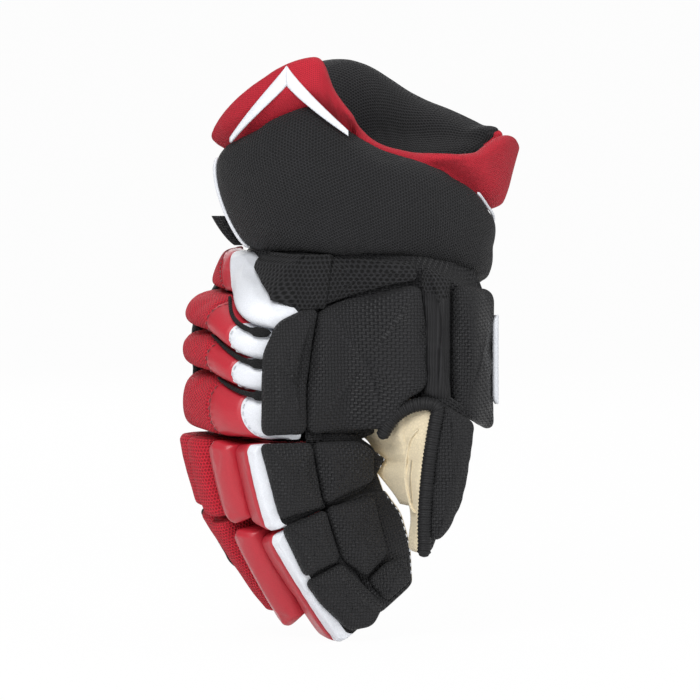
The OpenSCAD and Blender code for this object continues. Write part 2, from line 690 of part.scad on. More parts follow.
// Room at a fold: a thin wedge behind it and a wide one on the palm side
function fold_room(r, curl) =
    fold_gap + abs(r) * tan(stretch / 2 + 0.2 + (r < 0 ? curl / 2 : 0));
function first_point(f, s, r) =
    mix(fold_0(f), fold_1(f), s) + r * behind(second_tilt * s)
    + along(second_tilt * s) * (fold_room(r, first_curl) * (1 - s) - fold_room(r, second_curl) * s);
function second_point(f, s, r) =
    let (tilt = mix(second_tilt, tip_tilt, s))
    mix(fold_1(f), fold_2(f), s) + r * behind(tilt) + along(tilt) * fold_room(r, second_curl) * (1 - s);
function finger_point(f, part, s, r) = part == 1 ? first_point(f, s, r) : second_point(f, s, r);
function at_y(p, y) = [p.x, y, p.y];

// Rounded section of a stall, as [distance behind the fold, distance across]
function stall_section(low, high, half, corner) = [for (k = [0:3])
    let (sw = k < 2 ? 1 : -1,
         cr = k == 0 || k == 3 ? high - corner : low + corner)
    each concat([for (a = [0, 45, 90])
                    [cr + corner * cos(90 * k + a), sw * (half - corner) + corner * sin(90 * k + a)]],
                k % 2 == 0 ? [[0, sw * half]] : [])];
stall_corner = 5;
// Stall of one finger section, narrower toward the tip
function tip_share(part, s) = part == 1 ? 0 : s;
function stall_half(part, s) = finger_half_w * mix(1, 0.94, tip_share(part, s));
function stall_ring(f, part, s, inset) =
    let (t = tip_share(part, s),
         high = mix(stall_back, stall_back * 0.72, t) - inset,
         low = -mix(finger_palm, finger_palm * 0.85, t) + inset,
         half = stall_half(part, s) - inset)
    [for (q = stall_section(low, high, half, stall_corner - inset * 0.6))
        at_y(finger_point(f, part, s, q[0]), finger_y(f) + q[1])];
module stall(f, part) {
    outer = [for (s = [0, 0.5, 1]) stall_ring(f, part, s, 0)];
    inner = [for (s = part == 1 ? [0, 0.5, 1] : [0, 0.5, 0.94]) stall_ring(f, part, s, leather_t)];
    tube(outer, inner, part == 2);
}

// Padded roll on the back of a finger section, between two positions across the finger
roll_bevel = 7;
finger_roll_steps = 6;
function roll_height(part, s, w) =
    mix(finger_back, tip_back, pow(tip_share(part, s), 1.3))
    - roll_bevel * pow(abs(w) / finger_half_w, 2.5)
    - (part == 2 ? 7 * pow(s, 8) : 0);
function roll_ring(f, part, s, w0, w1) =
    let (t = tip_share(part, s),
         base = mix(stall_back, stall_back * 0.72, t) + fit,
         edge = abs(2 * s - 1),
         round = 4 * pow(edge, 8))
    concat([for (k = [0:6])
                let (w = mix(w0, w1, k / 6),
                     side = 3 * pow(abs(k / 3 - 1), 6))
                at_y(finger_point(f, part, s, roll_height(part, s, w) - round - side), finger_y(f) + w)],
           [for (k = [6, 4, 2, 0])
                at_y(finger_point(f, part, s, base), finger_y(f) + mix(w0, w1, k / 6))]);
module finger_roll(f, part, w0, w1) {
    loft([for (i = [0:finger_roll_steps]) roll_ring(f, part, i / finger_roll_steps, w0, w1)]);
}

// The index finger's rolls leave a strip on the thumb side for the white panel
strip_split = -finger_half_w * 0.3;
strip_gap = 0.3;
module index_first_stall() { color(black) stall(INDEX, 1); }
module index_second_stall() { color(black) stall(INDEX, 2); }
module index_first_roll() { color(red) finger_roll(INDEX, 1, strip_split + strip_gap, finger_half_w); }
module index_second_roll() { color(red) finger_roll(INDEX, 2, strip_split + strip_gap, finger_half_w); }
module index_first_strip() { color(white) finger_roll(INDEX, 1, -finger_half_w, strip_split - strip_gap); }
module index_second_strip() { color(white) finger_roll(INDEX, 2, -finger_half_w, strip_split - strip_gap); }
module middle_first_stall() { color(black) stall(MIDDLE, 1); }
module middle_second_stall() { color(black) stall(MIDDLE, 2); }
module middle_first_roll() { color(red) finger_roll(MIDDLE, 1, -finger_half_w, finger_half_w); }
module middle_second_roll() { color(red) finger_roll(MIDDLE, 2, -finger_half_w, finger_half_w); }
module ring_first_stall() { color(black) stall(RING, 1); }
module ring_second_stall() { color(black) stall(RING, 2); }
module ring_first_roll() { color(mesh_red) finger_roll(RING, 1, -finger_half_w, finger_half_w); }
module ring_second_roll() { color(mesh_red) finger_roll(RING, 2, -finger_half_w, finger_half_w); }
module little_first_stall() { color(black) stall(LITTLE, 1); }
module little_second_stall() { color(black) stall(LITTLE, 2); }
module little_first_roll() { color(mesh_red) finger_roll(LITTLE, 1, -finger_half_w, finger_half_w); }
module little_second_roll() { color(mesh_red) finger_roll(LITTLE, 2, -finger_half_w, finger_half_w); }

// Pads on the outer sides of the index and little finger, as [share of the section, distance behind the fold]
finger_pad_t = side_foam_t - 1.5;
pad_space = 1;
module finger_pad(f, part, corners) {
    out = f == INDEX ? -1 : 1;
    face = finger_y(f) + out * (stall_half(part, min([for (c = corners) c[0]])) + fit);
    outline = [for (c = corners) finger_point(f, part, c[0], c[1])];
    color(black)
    pad(rounded(outline, 3), finger_pad_t, function(p, h) [p.x, face + out * h, p.y]);
}
column_split = stall_back + 3;
pad_palm = finger_palm / 3;
module index_knuckle_pads() {
    finger_pad(INDEX, 1, [[0.02, column_split + pad_space], [0.02, finger_back - 9], [0.98, finger_back - 12],
                          [0.98, column_split]]);
    finger_pad(INDEX, 1, [[0.02, -pad_palm], [0.02, column_split - pad_space],
                          [0.98, column_split - 2 * pad_space], [0.96, -pad_palm]]);
}
module index_tip_pads() {
    finger_pad(INDEX, 2, [[0.02, column_split], [0.02, finger_back - 12], [0.43, finger_back - 15],
                          [0.44, column_split]]);
    finger_pad(INDEX, 2, [[0.47, column_split], [0.46, finger_back - 16], [0.8, tip_back + 2],
                          [0.99, tip_back * 0.8], [0.99, stall_back * 0.68]]);
    finger_pad(INDEX, 2, [[0.02, -pad_palm], [0.02, column_split - 2 * pad_space],
                          [0.45, column_split - 2 * pad_space], [0.66, stall_back * 0.84],
                          [0.62, -pad_palm / 2]]);
    finger_pad(INDEX, 2, [[0.66, -finger_palm * 0.6], [0.69, stall_back * 0.76], [0.98, stall_back / 2],
                          [0.98, -finger_palm * 0.6]]);
}
module little_first_side_pad() {
    finger_pad(LITTLE, 1, [[0.02, -pad_palm], [0.02, finger_back - 8], [0.98, finger_back - 10],
                           [0.98, -pad_palm]]);
}
module little_second_side_pad() {
    finger_pad(LITTLE, 2, [[0.02, -pad_palm], [0.02, finger_back - 10], [0.6, finger_back - 16],
                           [0.97, tip_back * 0.83], [0.97, -pad_palm]]);
}

// Thumb, between its fold and its tip
thumb_low_deep = 17;
thumb_tip = thumb_fold + thumb_len * along(thumb_lean);
function thumb_room(q) = fold_gap + abs(q) * tan(q > 0 ? thumb_stretch + 0.4 : thumb_bend + 0.4);
// Point at a share of the length and a distance toward the outer side
function thumb_point(s, q) =
    let (slope = fold_slope * pow(1 - s, 2))
    mix(thumb_fold, thumb_tip, s) + q * [cos(slope), -sin(slope)]
    + along(thumb_lean) * thumb_room(q) * (1 - s);
function thumb_side(s) = mix(thumb_w, thumb_w * 0.8, s) / 2;
function thumb_half(s) = mix(thumb_deep, thumb_low_deep, pow(s, 2.2)) / 2;
// The thumb's outer side draws in toward the tip
function thumb_shift(s) = 4 * (1 - s);
thumb_flare_steps = [[0.14, 0], [0.38, 0.95], [0.78, 1], [1, 0.7]];
function thumb_spread(s, q, across) =
    q > 0 ? 0 : thumb_flare * curve_at(thumb_flare_steps, s) * (q / thumb_half(s))
                * clamp01(across / thumb_w + 0.5);
function thumb_ring(s, inset) =
    [for (q = stall_section(thumb_shift(s) - thumb_half(s) + inset, thumb_shift(s) + thumb_half(s) - inset,
                            thumb_side(s) - inset, 6 - inset * 0.6))
        at_y(thumb_point(s, q[0] + thumb_spread(s, q[0], q[1])), -thumb_out + q[1])];
module thumb_stall() {
    color(black)
    tube([for (s = [0, 0.25, 0.5, 0.75, 0.9, 1]) thumb_ring(s, s == 1 ? 2 : 0)],
         [for (s = [0, 0.25, 0.5, 0.75, 0.9]) thumb_ring(s, leather_t)], true);
}
thumb_pad_t = side_foam_t - 2.5;
module thumb_side_pad() {
    face = -thumb_out - thumb_w / 2 - fit;
    outline = [for (c = [[0.06, -0.1], [0.06, 0.92], [0.3, 0.95], [0.62, 0.9], [0.86, 0.7], [0.9, 0.1],
                         [0.5, 0]])
        thumb_point(c[0], thumb_shift(c[0]) + c[1] * thumb_half(c[0]))];
    color(black)
    pad(rounded(outline, 3), thumb_pad_t, function(p, h) [p.x, face - h, p.y]);
}
module thumb_binding() {
    color(black)
    cord([for (s = [0.06, 0.2, 0.4, 0.6, 0.8, 0.95])
             at_y(thumb_point(s, thumb_shift(s) - thumb_half(s) * 0.6),
                  -thumb_out - thumb_side(s) - binding_d / 2 - seat_gap)],
         binding_d);
}
module thumb_insert() {
    s0 = 0.12;
    s1 = 0.8;
    face = [for (d = [0, plate_t]) [for (i = [0:5])
        let (s = mix(s0, s1, i / 5))
        [for (w = [-0.6, 0, 0.6])
            at_y(thumb_point(s, thumb_shift(s) + thumb_half(s) + fit + d), -thumb_out + w * thumb_w / 2)]]];
    color(plastic) sheet(face[1], face[0]);
}

back_liner();
backhand_plate();
back_roll_1();
back_roll_2();
back_roll_3();
back_roll_4();
roll_welts();
wrist_back_panel();
wrist_side_panel();
thumb_side_wall();
little_side_wall();
palm_panel();
palm_patch();
thenar_panel();
thumb_gusset();
narrow_side_pad();
web_pad();
thumb_column_pad();
thumb_base_pad();
thumb_stripe();
web_binding();
little_side_pad();
wrist_sleeve();
cuff_roll();
cuff_back_flap();
cuff_thumb_flap();
cuff_little_flap();
cuff_lining();
cuff_insert();
cuff_chevron();
cuff_piping();
label_tab();
thumb_stall();
thumb_side_pad();
thumb_binding();
thumb_insert();
index_first_stall();
index_first_roll();
index_first_strip();
index_knuckle_pads();
index_second_stall();
index_second_roll();
index_second_strip();
index_tip_pads();
middle_first_stall();
middle_first_roll();
middle_second_stall();
middle_second_roll();
ring_first_stall();
ring_first_roll();
ring_second_stall();
ring_second_roll();
little_first_stall();
little_first_roll();
little_second_stall();
little_second_roll();
little_first_side_pad();
little_second_side_pad();
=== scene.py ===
"""Looks of a padded hockey glove: foam pads, mesh, smooth panels, leather and thread on its frame."""

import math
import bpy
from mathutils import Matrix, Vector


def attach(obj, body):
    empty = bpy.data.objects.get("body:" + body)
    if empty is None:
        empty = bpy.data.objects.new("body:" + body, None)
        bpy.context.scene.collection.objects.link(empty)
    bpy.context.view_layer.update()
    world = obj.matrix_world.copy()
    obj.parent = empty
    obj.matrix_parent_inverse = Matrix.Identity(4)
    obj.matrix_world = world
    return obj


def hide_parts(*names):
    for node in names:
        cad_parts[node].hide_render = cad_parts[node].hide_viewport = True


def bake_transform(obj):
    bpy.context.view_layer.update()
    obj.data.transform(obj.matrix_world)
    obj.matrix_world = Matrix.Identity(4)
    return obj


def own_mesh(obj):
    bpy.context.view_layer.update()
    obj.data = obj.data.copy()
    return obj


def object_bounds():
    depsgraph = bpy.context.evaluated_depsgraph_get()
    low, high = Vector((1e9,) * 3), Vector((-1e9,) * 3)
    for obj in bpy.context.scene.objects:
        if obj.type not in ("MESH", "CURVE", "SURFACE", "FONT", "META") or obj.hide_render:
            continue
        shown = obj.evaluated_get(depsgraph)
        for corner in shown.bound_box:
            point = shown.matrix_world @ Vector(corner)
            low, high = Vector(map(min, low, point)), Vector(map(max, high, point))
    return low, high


bl_info = {
    "name": "Padded hockey glove",
    "version": (1, 0, 0),
    "blender": (4, 5, 0),
    "location": "View3D > Sidebar > Glove",
    "description": "Builds the pads, rolls, cuff, fingers and leather of a padded hockey glove",
    "category": "Object",
}

import bmesh
import bpy
import numpy as np
from mathutils import Vector, noise

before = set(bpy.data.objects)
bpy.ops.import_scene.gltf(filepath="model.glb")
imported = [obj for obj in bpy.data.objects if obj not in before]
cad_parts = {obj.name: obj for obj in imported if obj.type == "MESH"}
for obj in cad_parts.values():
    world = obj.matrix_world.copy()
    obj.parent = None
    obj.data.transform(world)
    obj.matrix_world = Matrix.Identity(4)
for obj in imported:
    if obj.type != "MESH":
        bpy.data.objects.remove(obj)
cad_box = [[float(v) for v in corner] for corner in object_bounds()]

MM = 0.001

# Sizes of the glove's frame, in millimetres
KNUCKLE_Z, WRIST_Z, MOUTH_Z = -185.0, -75.0, -17.0
HAND_HALF_W, ROLL_HALF_W = 50.0, 50.5
BACK_REACH, WRIST_REACH, HEEL_REACH = 105.0, 76.0, 60.0
FOAM_T, WRIST_FOAM_T, SIDE_FOAM_T, PLATE_T, FIT = 28.0, 17.0, 8.0, 2.0, 0.5
LEATHER_T, PIPING_D, BINDING_D = 2.4, 3.0, 8.0
CUFF_DEEP, CUFF_WIDE, WRIST_DEEP, WRIST_WIDE, CUFF_SHIFT_Y = 96.0, 68.0, 77.0, 70.0, -4.0
CUFF_ROLL_T, FLAP_T, LINING_T, SWELL = 13.0, 9.0, 9.0, 7.0
HAND_TOP = WRIST_Z - WRIST_DEEP * math.sin(math.radians(3)) - FIT
HAND_FLOOR = KNUCKLE_Z + 0.2 + 69 * math.tan(math.radians(1.2))
ROLL_FROM, ROLL_TO = -172.0, 105.0
ROLL_TOP = [(-172, -64), (-139, -49), (-124, -37), (-111, -28), (-100, -21.5), (-79, -11), (-64, 2),
            (-52, 12.5), (-40, 9.5), (-22, -0.5), (0, -11), (17, -18), (105, -22)]
ROLL_LOW = [(-172, -100), (-130, -88), (-100, -79), (-75, -74.5), (-40, -74.5), (105, -74.5)]
RIM = [(-180, -12), (-162, -14), (-150, -9), (-137, -10), (-121, -17.5), (-104, -20.5), (-90, -17),
       (-76, -9), (-66, 8), (-60, 24), (-56, 38), (-52, 41.5), (-41, 37.5), (-27, 27), (-8, 11), (3, 1),
       (18, -10), (32, -8), (60, 14), (90, 28), (104, 28), (127, 13), (178, -11)]
INDEX, MIDDLE, RING, LITTLE = range(4)
FINGERS = ("index", "middle", "ring", "little")
FINGER_SET, FINGER_SHARE = (0, 8, 9, 2), (1, 0.96, 0.9, 0.76)
FINGER_BACK, TIP_BACK, FINGER_PALM, STALL_BACK = 69.0, 47.0, 15.0, 25.0
FINGER_HALF_W, FINGER_PITCH = 12.6, 26.0
# Finger sections: lengths, and in degrees their leans, end tilts and greatest curls
FIRST_LEN, SECOND_LEN, FIRST_LEAN, SECOND_LEAN = 28.0, 66.0, 8.0, 21.0
FOLD_TILT, TIP_TILT, KNUCKLE_CURL, MIDDLE_CURL = 22.0, 39.0, 40.0, 45.0
# How much a finger narrows to its tip, on its back, on its palm and across
BACK_TAPER, PALM_TAPER, SIDE_TAPER = 0.72, 0.85, 0.94
THUMB_OUT, THUMB_W, THUMB_LEN = 74.0, 24.0, 86.0
THUMB_FOLD, THUMB_LEAN, FOLD_SLOPE = (12.0, -159.0), -7.0, 23.0


# Shape of the glove
def smooth(t):
    c = min(1.0, max(0.0, t))
    return c * c * (3 - 2 * c)


def mix(a, b, t):
    return a + (b - a) * t


def curve_at(steps, t):
    """Value at t of a smooth curve through (position, value) pairs."""
    if t <= steps[0][0]:
        return steps[0][1]
    for i in range(len(steps) - 1):
        (t0, v0), (t1, v1) = steps[i], steps[i + 1]
        if t <= t1:
            before, after = steps[max(i - 1, 0)], steps[min(i + 2, len(steps) - 1)]
            m0 = (v1 - before[1]) / (t1 - before[0])
            m1 = (after[1] - v0) / (after[0] - t0)
            h, u = t1 - t0, (t - t0) / (t1 - t0)
            return mix(v0, v1, smooth(u)) + h * u * (1 - u) * ((1 - u) * m0 - u * m1)
    return steps[-1][1]


def sin(a):
    return math.sin(math.radians(a))


def cos(a):
    return math.cos(math.radians(a))


def tan(a):
    return math.tan(math.radians(a))


def wrist_share(z):
    return smooth((z - WRIST_Z + 42) / 42)


def foam(z):
    return mix(FOAM_T, WRIST_FOAM_T, wrist_share(z))


def back_x(y, z):
    arch = (1 - (abs(y) / (HAND_HALF_W + 14)) ** 2.4) ** (1 / 2.4)
    return -40 - (mix(BACK_REACH, WRIST_REACH, wrist_share(z)) - 40) * arch


def roll_bed(y, z):
    return back_x(y, z) + foam(z) - PLATE_T - 2 * FIT


# Edges of the back rolls: height, and drop toward the thumb side
ROLL_EDGES = ((HAND_TOP, 32), (HAND_TOP - 19.5, 19), (HAND_TOP - 42, 15), (HAND_TOP - 65.5, 10),
              (HAND_FLOOR + 1.5, 0))


def roll_edge(i, y):
    return ROLL_EDGES[i][0] - ROLL_EDGES[i][1] * smooth(-y / ROLL_HALF_W)


def side_y(x):
    """Outer face of the thumb side, which swings out to the thumb."""
    return -HAND_HALF_W - FIT - 28 * smooth((x + 40) / 44) + 18 * smooth((x - 30) / 26)


def thumb_fold_z(x):
    return THUMB_FOLD[1] - (x - THUMB_FOLD[0]) * tan(FOLD_SLOPE)


def hand_rim(x):
    return HAND_TOP - 20 * smooth((x - 5) / 40)


def cuff_point(angle, z, inset):
    """Point of the cuff at an angle from the back, negative toward the thumb."""
    share = min(1.0, max(0.0, (z - WRIST_Z) / (MOUTH_Z - WRIST_Z)))
    return (mix(2, 0.7, share) - (mix(WRIST_DEEP, CUFF_DEEP, share) - inset) * cos(angle),
            CUFF_SHIFT_Y + (mix(WRIST_WIDE, CUFF_WIDE, share) - inset) * sin(angle), z)


def flap_inset(angle, z):
    return mix(PIPING_D / 2, CUFF_ROLL_T + 1.6 * FIT,
               smooth((curve_at(ROLL_TOP, angle) + SWELL + 1 - z) / SWELL))


def flap_low(angle):
    return mix(WRIST_Z + 20, WRIST_Z + 13, smooth((angle - ROLL_TO - 4) / 12))


def along(tilt):
    return np.array((sin(tilt), -cos(tilt)))


def behind(tilt):
    return np.array((-cos(tilt), -sin(tilt)))


def finger_y(f):
    return (f - 1.5) * FINGER_PITCH


def folds(f):
    first = np.array((-26.0 - FINGER_SET[f], KNUCKLE_Z))
    second = first + FINGER_SHARE[f] * FIRST_LEN * along(FIRST_LEAN)
    return first, second, second + FINGER_SHARE[f] * SECOND_LEN * along(SECOND_LEAN)


def fold_room(r, curl):
    return 0.2 + abs(r) * tan(1.2 + (curl / 2 if r < 0 else 0))


def finger_point(f, part, s, r):
    """Point of a finger section: share of its length, distance behind its fold line."""
    f0, f1, f2 = folds(f)
    if part == 1:
        tilt = FOLD_TILT * s
        return (mix(f0, f1, s) + r * behind(tilt)
                + along(tilt) * (fold_room(r, KNUCKLE_CURL) * (1 - s) - fold_room(r, MIDDLE_CURL) * s))
    tilt = mix(FOLD_TILT, TIP_TILT, s)
    return mix(f1, f2, s) + r * behind(tilt) + along(tilt) * fold_room(r, MIDDLE_CURL) * (1 - s)


def thumb_half(s):
    return mix(37, 17, s ** 2.2) / 2


def thumb_side(s):
    return mix(THUMB_W, THUMB_W * 0.8, s) / 2


def thumb_shift(s):
    return 4 * (1 - s)


def thumb_point(s, q):
    """Point of the thumb: share of its length, distance toward its outer side."""
    slope = FOLD_SLOPE * (1 - s) ** 2
    room = 0.2 + abs(q) * tan(8.4 if q > 0 else 12.4)
    start = np.array(THUMB_FOLD)
    return (start + along(THUMB_LEAN) * (THUMB_LEN * s + room * (1 - s))
            + q * np.array((cos(slope), -sin(slope))))


def stall_section(low, high, half, corner, turns=6):
    """Rounded section as (distance behind the fold, distance across)."""
    points = []
    for k in range(4):
        side = 1 if k < 2 else -1
        centre = high - corner if k in (0, 3) else low + corner
        for j in range(turns + 1):
            a = 90 * k + 90 * j / turns
            points.append((centre + corner * cos(a), side * (half - corner) + corner * sin(a)))
        here = points[-1]
        a = 90 * (k + 1)
        side = 1 if (k + 1) % 4 < 2 else -1
        centre = high - corner if (k + 1) % 4 in (0, 3) else low + corner
        there = (centre + corner * cos(a), side * (half - corner) + corner * sin(a))
        count = 6 if k % 2 == 0 else 4
        points += [tuple(mix(np.array(here), np.array(there), t / count)) for t in range(1, count)]
    return points


def rounded_tip(ring, centre, reach, way):
    """Rings that close a stall's tip with a low dome."""
    return [[tuple(mix(centre, np.array(p), math.sqrt(1 - t * t)) + t * reach * np.array(way))
             for p in ring] for t in (0.35, 0.65, 0.87)]


# Settings
def shade(red, green, blue):
    """Colour from its screen values, as Blender's linear colour."""
    def linear(c):
        c /= 255
        return c / 12.92 if c <= 0.04045 else ((c + 0.055) / 1.055) ** 2.4
    return linear(red), linear(green), linear(blue)


def colour_setting(name, description, value):
    return bpy.props.FloatVectorProperty(name=name, description=description, size=3, min=0, max=1,
                                         subtype="COLOR", default=value)


def length_setting(name, description, value):
    return bpy.props.FloatProperty(name=name, description=description, default=value, min=0,
                                   unit="LENGTH", precision=5)


class GloveColours(bpy.types.PropertyGroup):
    """Colours of the glove's finishes."""

    smooth_red: colour_setting("Smooth red", "Colour of the smooth red panels", shade(190, 42, 56))
    mesh_red: colour_setting("Mesh red", "Colour of the red knit mesh", shade(192, 38, 54))
    smooth_white: colour_setting("Smooth white", "Colour of the white panels", shade(232, 235, 241))
    woven_black: colour_setting("Woven black", "Colour of the woven pad covers", shade(33, 33, 35))
    mesh_black: colour_setting("Mesh black", "Colour of the black knit mesh", shade(42, 42, 44))
    leather: colour_setting("Leather", "Colour of the palm leather", shade(234, 219, 186))
    insert: colour_setting("Insert", "Colour of the hard inserts", shade(120, 122, 128))
    floor: colour_setting("Floor", "Colour of the studio floor", shade(244, 244, 245))


class GloveSizes(bpy.types.PropertyGroup):
    """Sizes of the glove's fabric and sewing."""

    weave_pitch: length_setting("Weave pitch", "Spacing of the yarns of the woven covers", 0.0019)
    fine_cell: length_setting("Fine mesh cell", "Size of a cell of the cuff's mesh", 0.0019)
    coarse_cell: length_setting("Coarse mesh cell", "Size of a cell of the wrist's mesh", 0.0029)
    stitch: length_setting("Stitch length", "Length of one stitch", 0.0028)
    stitch_gap: length_setting("Stitch gap", "Space between two stitches", 0.0016)
    thread: length_setting("Thread", "Thickness of the sewing thread", 0.0009)
    pressure: bpy.props.FloatProperty(name="Pad pressure", default=4.0, min=0, max=20,
                                      description="Pressure of the foam against its cover")


def colours():
    return bpy.context.scene.glove_colours


def sizes():
    return bpy.context.scene.glove_sizes


# Finishes
class Nodes:
    """Short ways to add shader nodes to a tree."""

    def __init__(self, tree):
        self.tree = tree

    def add(self, kind, inputs=None, **settings):
        node = self.tree.nodes.new(kind)
        for key, value in settings.items():
            setattr(node, key, value)
        for key, value in (inputs or {}).items():
            if isinstance(value, bpy.types.NodeSocket):
                self.tree.links.new(value, node.inputs[key])
            else:
                node.inputs[key].default_value = value
        return node

    def math(self, operation, a, b=0.0, c=0.0):
        return self.add("ShaderNodeMath", {0: a, 1: b, 2: c}, operation=operation).outputs[0]

    def vector(self, operation, a, b=(0, 0, 0)):
        node = self.add("ShaderNodeVectorMath", {0: a, 1: b}, operation=operation)
        return node.outputs["Value" if operation in ("LENGTH", "DISTANCE") else "Vector"]

    def scaled(self, vector, factor):
        return self.add("ShaderNodeVectorMath", {0: vector, "Scale": factor},
                        operation="SCALE").outputs["Vector"]

    def ramp(self, value, low, high, to_low=0.0, to_high=1.0):
        return self.add("ShaderNodeMapRange", {"Value": value, "From Min": low, "From Max": high,
                                               "To Min": to_low, "To Max": to_high},
                        interpolation_type="SMOOTHSTEP").outputs["Result"]

    def blend(self, factor, a, b):
        node = self.add("ShaderNodeMix", {0: factor}, data_type="RGBA")
        for socket, value in ((node.inputs[6], a), (node.inputs[7], b)):
            if isinstance(value, bpy.types.NodeSocket):
                self.tree.links.new(value, socket)
            else:
                socket.default_value = (*value, 1) if len(value) == 3 else value
        return node.outputs[2]


def shared_effect(name, inputs, outputs, make):
    """Shader group with named sockets, built once."""
    if name in bpy.data.node_groups:
        return bpy.data.node_groups[name]
    tree = bpy.data.node_groups.new(name, "ShaderNodeTree")
    for label, kind in inputs:
        tree.interface.new_socket(label, in_out="INPUT", socket_type=kind)
    for label, kind in outputs:
        tree.interface.new_socket(label, in_out="OUTPUT", socket_type=kind)
    nodes = Nodes(tree)
    source = tree.nodes.new("NodeGroupInput")
    result = tree.nodes.new("NodeGroupOutput")
    for label, socket in make(nodes, source.outputs).items():
        tree.links.new(socket, result.inputs[label])
    return tree


VECTOR, VALUE, COLOUR = "NodeSocketVector", "NodeSocketFloat", "NodeSocketColor"


def knit_cells():
    """Six-sided cells of a knit mesh, with a hole in the middle of each."""
    def make(n, given):
        place = n.scaled(given["Vector"], n.math("DIVIDE", 1.0, given["Cell"]))
        tile, half = (1.0, 1.7320508, 1.0), (0.5, 0.8660254, 0.5)
        far = []
        for shift in ((0, 0, 0), half):
            wrapped = n.vector("MODULO", n.vector("ADD", place, (400 + shift[0], 692.820323 + shift[1], 0)),
                               tile)
            flat = n.vector("MULTIPLY", n.vector("SUBTRACT", wrapped, half), (1, 1, 0))
            far.append(n.vector("LENGTH", flat))
        near = n.math("MINIMUM", far[0], far[1])
        return {"Hole": n.ramp(near, 0.22, 0.38, 1.0, 0.0), "Height": n.ramp(near, 0.15, 0.52)}
    return shared_effect("Knit cells", [("Vector", VECTOR), ("Cell", VALUE)],
                         [("Hole", VALUE), ("Height", VALUE)], make)


def woven_yarn():
    """Yarns of a plain weave, over and under each other."""
    def make(n, given):
        parts = n.add("ShaderNodeSeparateXYZ", {0: n.scaled(given["Vector"],
                                                            n.math("DIVIDE", 1.0, given["Pitch"]))})
        u, v = parts.outputs[0], parts.outputs[1]
        round_u = n.math("ABSOLUTE", n.math("SINE", n.math("MULTIPLY", u, math.pi)))
        round_v = n.math("ABSOLUTE", n.math("SINE", n.math("MULTIPLY", v, math.pi)))
        turn = n.math("FLOORED_MODULO", n.math("ADD", n.math("FLOOR", u), n.math("FLOOR", v)), 2.0)
        over = n.math("ADD", n.math("MULTIPLY", round_u, turn),
                      n.math("MULTIPLY", round_v, n.math("SUBTRACT", 1.0, turn)))
        return {"Height": over, "Gap": n.ramp(over, 0.0, 0.45, 1.0, 0.0)}
    return shared_effect("Woven yarn", [("Vector", VECTOR), ("Pitch", VALUE)],
                         [("Height", VALUE), ("Gap", VALUE)], make)


def hide_grain():
    """Pebbled grain and fine creases of leather and coated cloth."""
    def make(n, given):
        cells = n.add("ShaderNodeTexVoronoi", {"Vector": given["Vector"], "Scale": given["Scale"]},
                      feature="DISTANCE_TO_EDGE")
        soft = n.add("ShaderNodeTexNoise", {"Vector": given["Vector"], "Detail": 4.0,
                                            "Scale": n.math("MULTIPLY", given["Scale"], 0.35)})
        pebble = n.ramp(cells.outputs["Distance"], 0.0, 0.25)
        height = n.math("ADD", n.math("MULTIPLY", pebble, 0.6), soft.outputs[0])
        return {"Height": height, "Crease": n.math("SUBTRACT", 1.0, pebble)}
    return shared_effect("Hide grain", [("Vector", VECTOR), ("Scale", VALUE)],
                         [("Height", VALUE), ("Crease", VALUE)], make)


def uneven_dye():
    """Broad and fine changes of a dyed colour, and a mask for rubbed places."""
    def make(n, given):
        broad = n.add("ShaderNodeTexNoise", {"Vector": given["Vector"], "Scale": 38.0, "Detail": 3.0})
        fine = n.add("ShaderNodeTexNoise", {"Vector": given["Vector"], "Scale": 420.0, "Detail": 2.0})
        shades = n.add("ShaderNodeHueSaturation", {
            "Color": given["Color"], "Saturation": 1.0,
            "Value": n.math("ADD", 1.0, n.math("MULTIPLY", given["Amount"], n.math(
                "SUBTRACT", n.math("ADD", broad.outputs[0], n.math("MULTIPLY", fine.outputs[0], 0.5)),
                0.75)))})
        return {"Color": shades.outputs[0], "Rub": broad.outputs[0]}
    return shared_effect("Uneven dye", [("Color", COLOUR), ("Vector", VECTOR), ("Amount", VALUE)],
                         [("Color", COLOUR), ("Rub", VALUE)], make)


class Finish:
    """Material under construction: its nodes, cloth and object places and shader."""

    def __init__(self, name, roughness, **constants):
        self.material = bpy.data.materials.new(name)
        self.material.use_nodes = True
        tree = self.material.node_tree
        self.n = Nodes(tree)
        self.shader = next(x for x in tree.nodes if x.type == "BSDF_PRINCIPLED")
        self.shader.inputs["Roughness"].default_value = roughness
        for key, value in constants.items():
            self.shader.inputs[key.replace("_", " ")].default_value = value
        self.cloth = self.n.add("ShaderNodeUVMap", uv_map="Cloth").outputs[0]
        self.place = self.n.add("ShaderNodeTexCoord").outputs["Object"]

    def effect(self, group, **inputs):
        return self.n.add("ShaderNodeGroup", inputs, node_tree=group).outputs

    def done(self, colour, height, depth, strength=1.0, roughness=None):
        links = self.n.tree.links
        links.new(colour, self.shader.inputs["Base Color"])
        bump = self.n.add("ShaderNodeBump", {"Height": height, "Distance": depth, "Strength": strength})
        links.new(bump.outputs[0], self.shader.inputs["Normal"])
        if roughness is not None:
            links.new(roughness, self.shader.inputs["Roughness"])
        return self.material


def knit_finish(name, colour, cell, hole_shade, depth, amount=0.35):
    f = Finish(name, 0.75, Sheen_Weight=0.04, Sheen_Roughness=0.4, Specular_IOR_Level=0.25)
    cells = f.effect(knit_cells(), Vector=f.cloth, Cell=cell / MM)
    dye = f.effect(uneven_dye(), Color=(*colour, 1), Vector=f.place, Amount=amount)
    holes = tuple(c * hole_shade for c in colour)
    fuzz = f.n.add("ShaderNodeTexNoise", {"Vector": f.place, "Scale": 2600.0}).outputs[0]
    height = f.n.math("ADD", cells["Height"], f.n.math("MULTIPLY", fuzz, 0.35))
    return f.done(f.n.blend(cells["Hole"], dye["Color"], holes), height, depth)


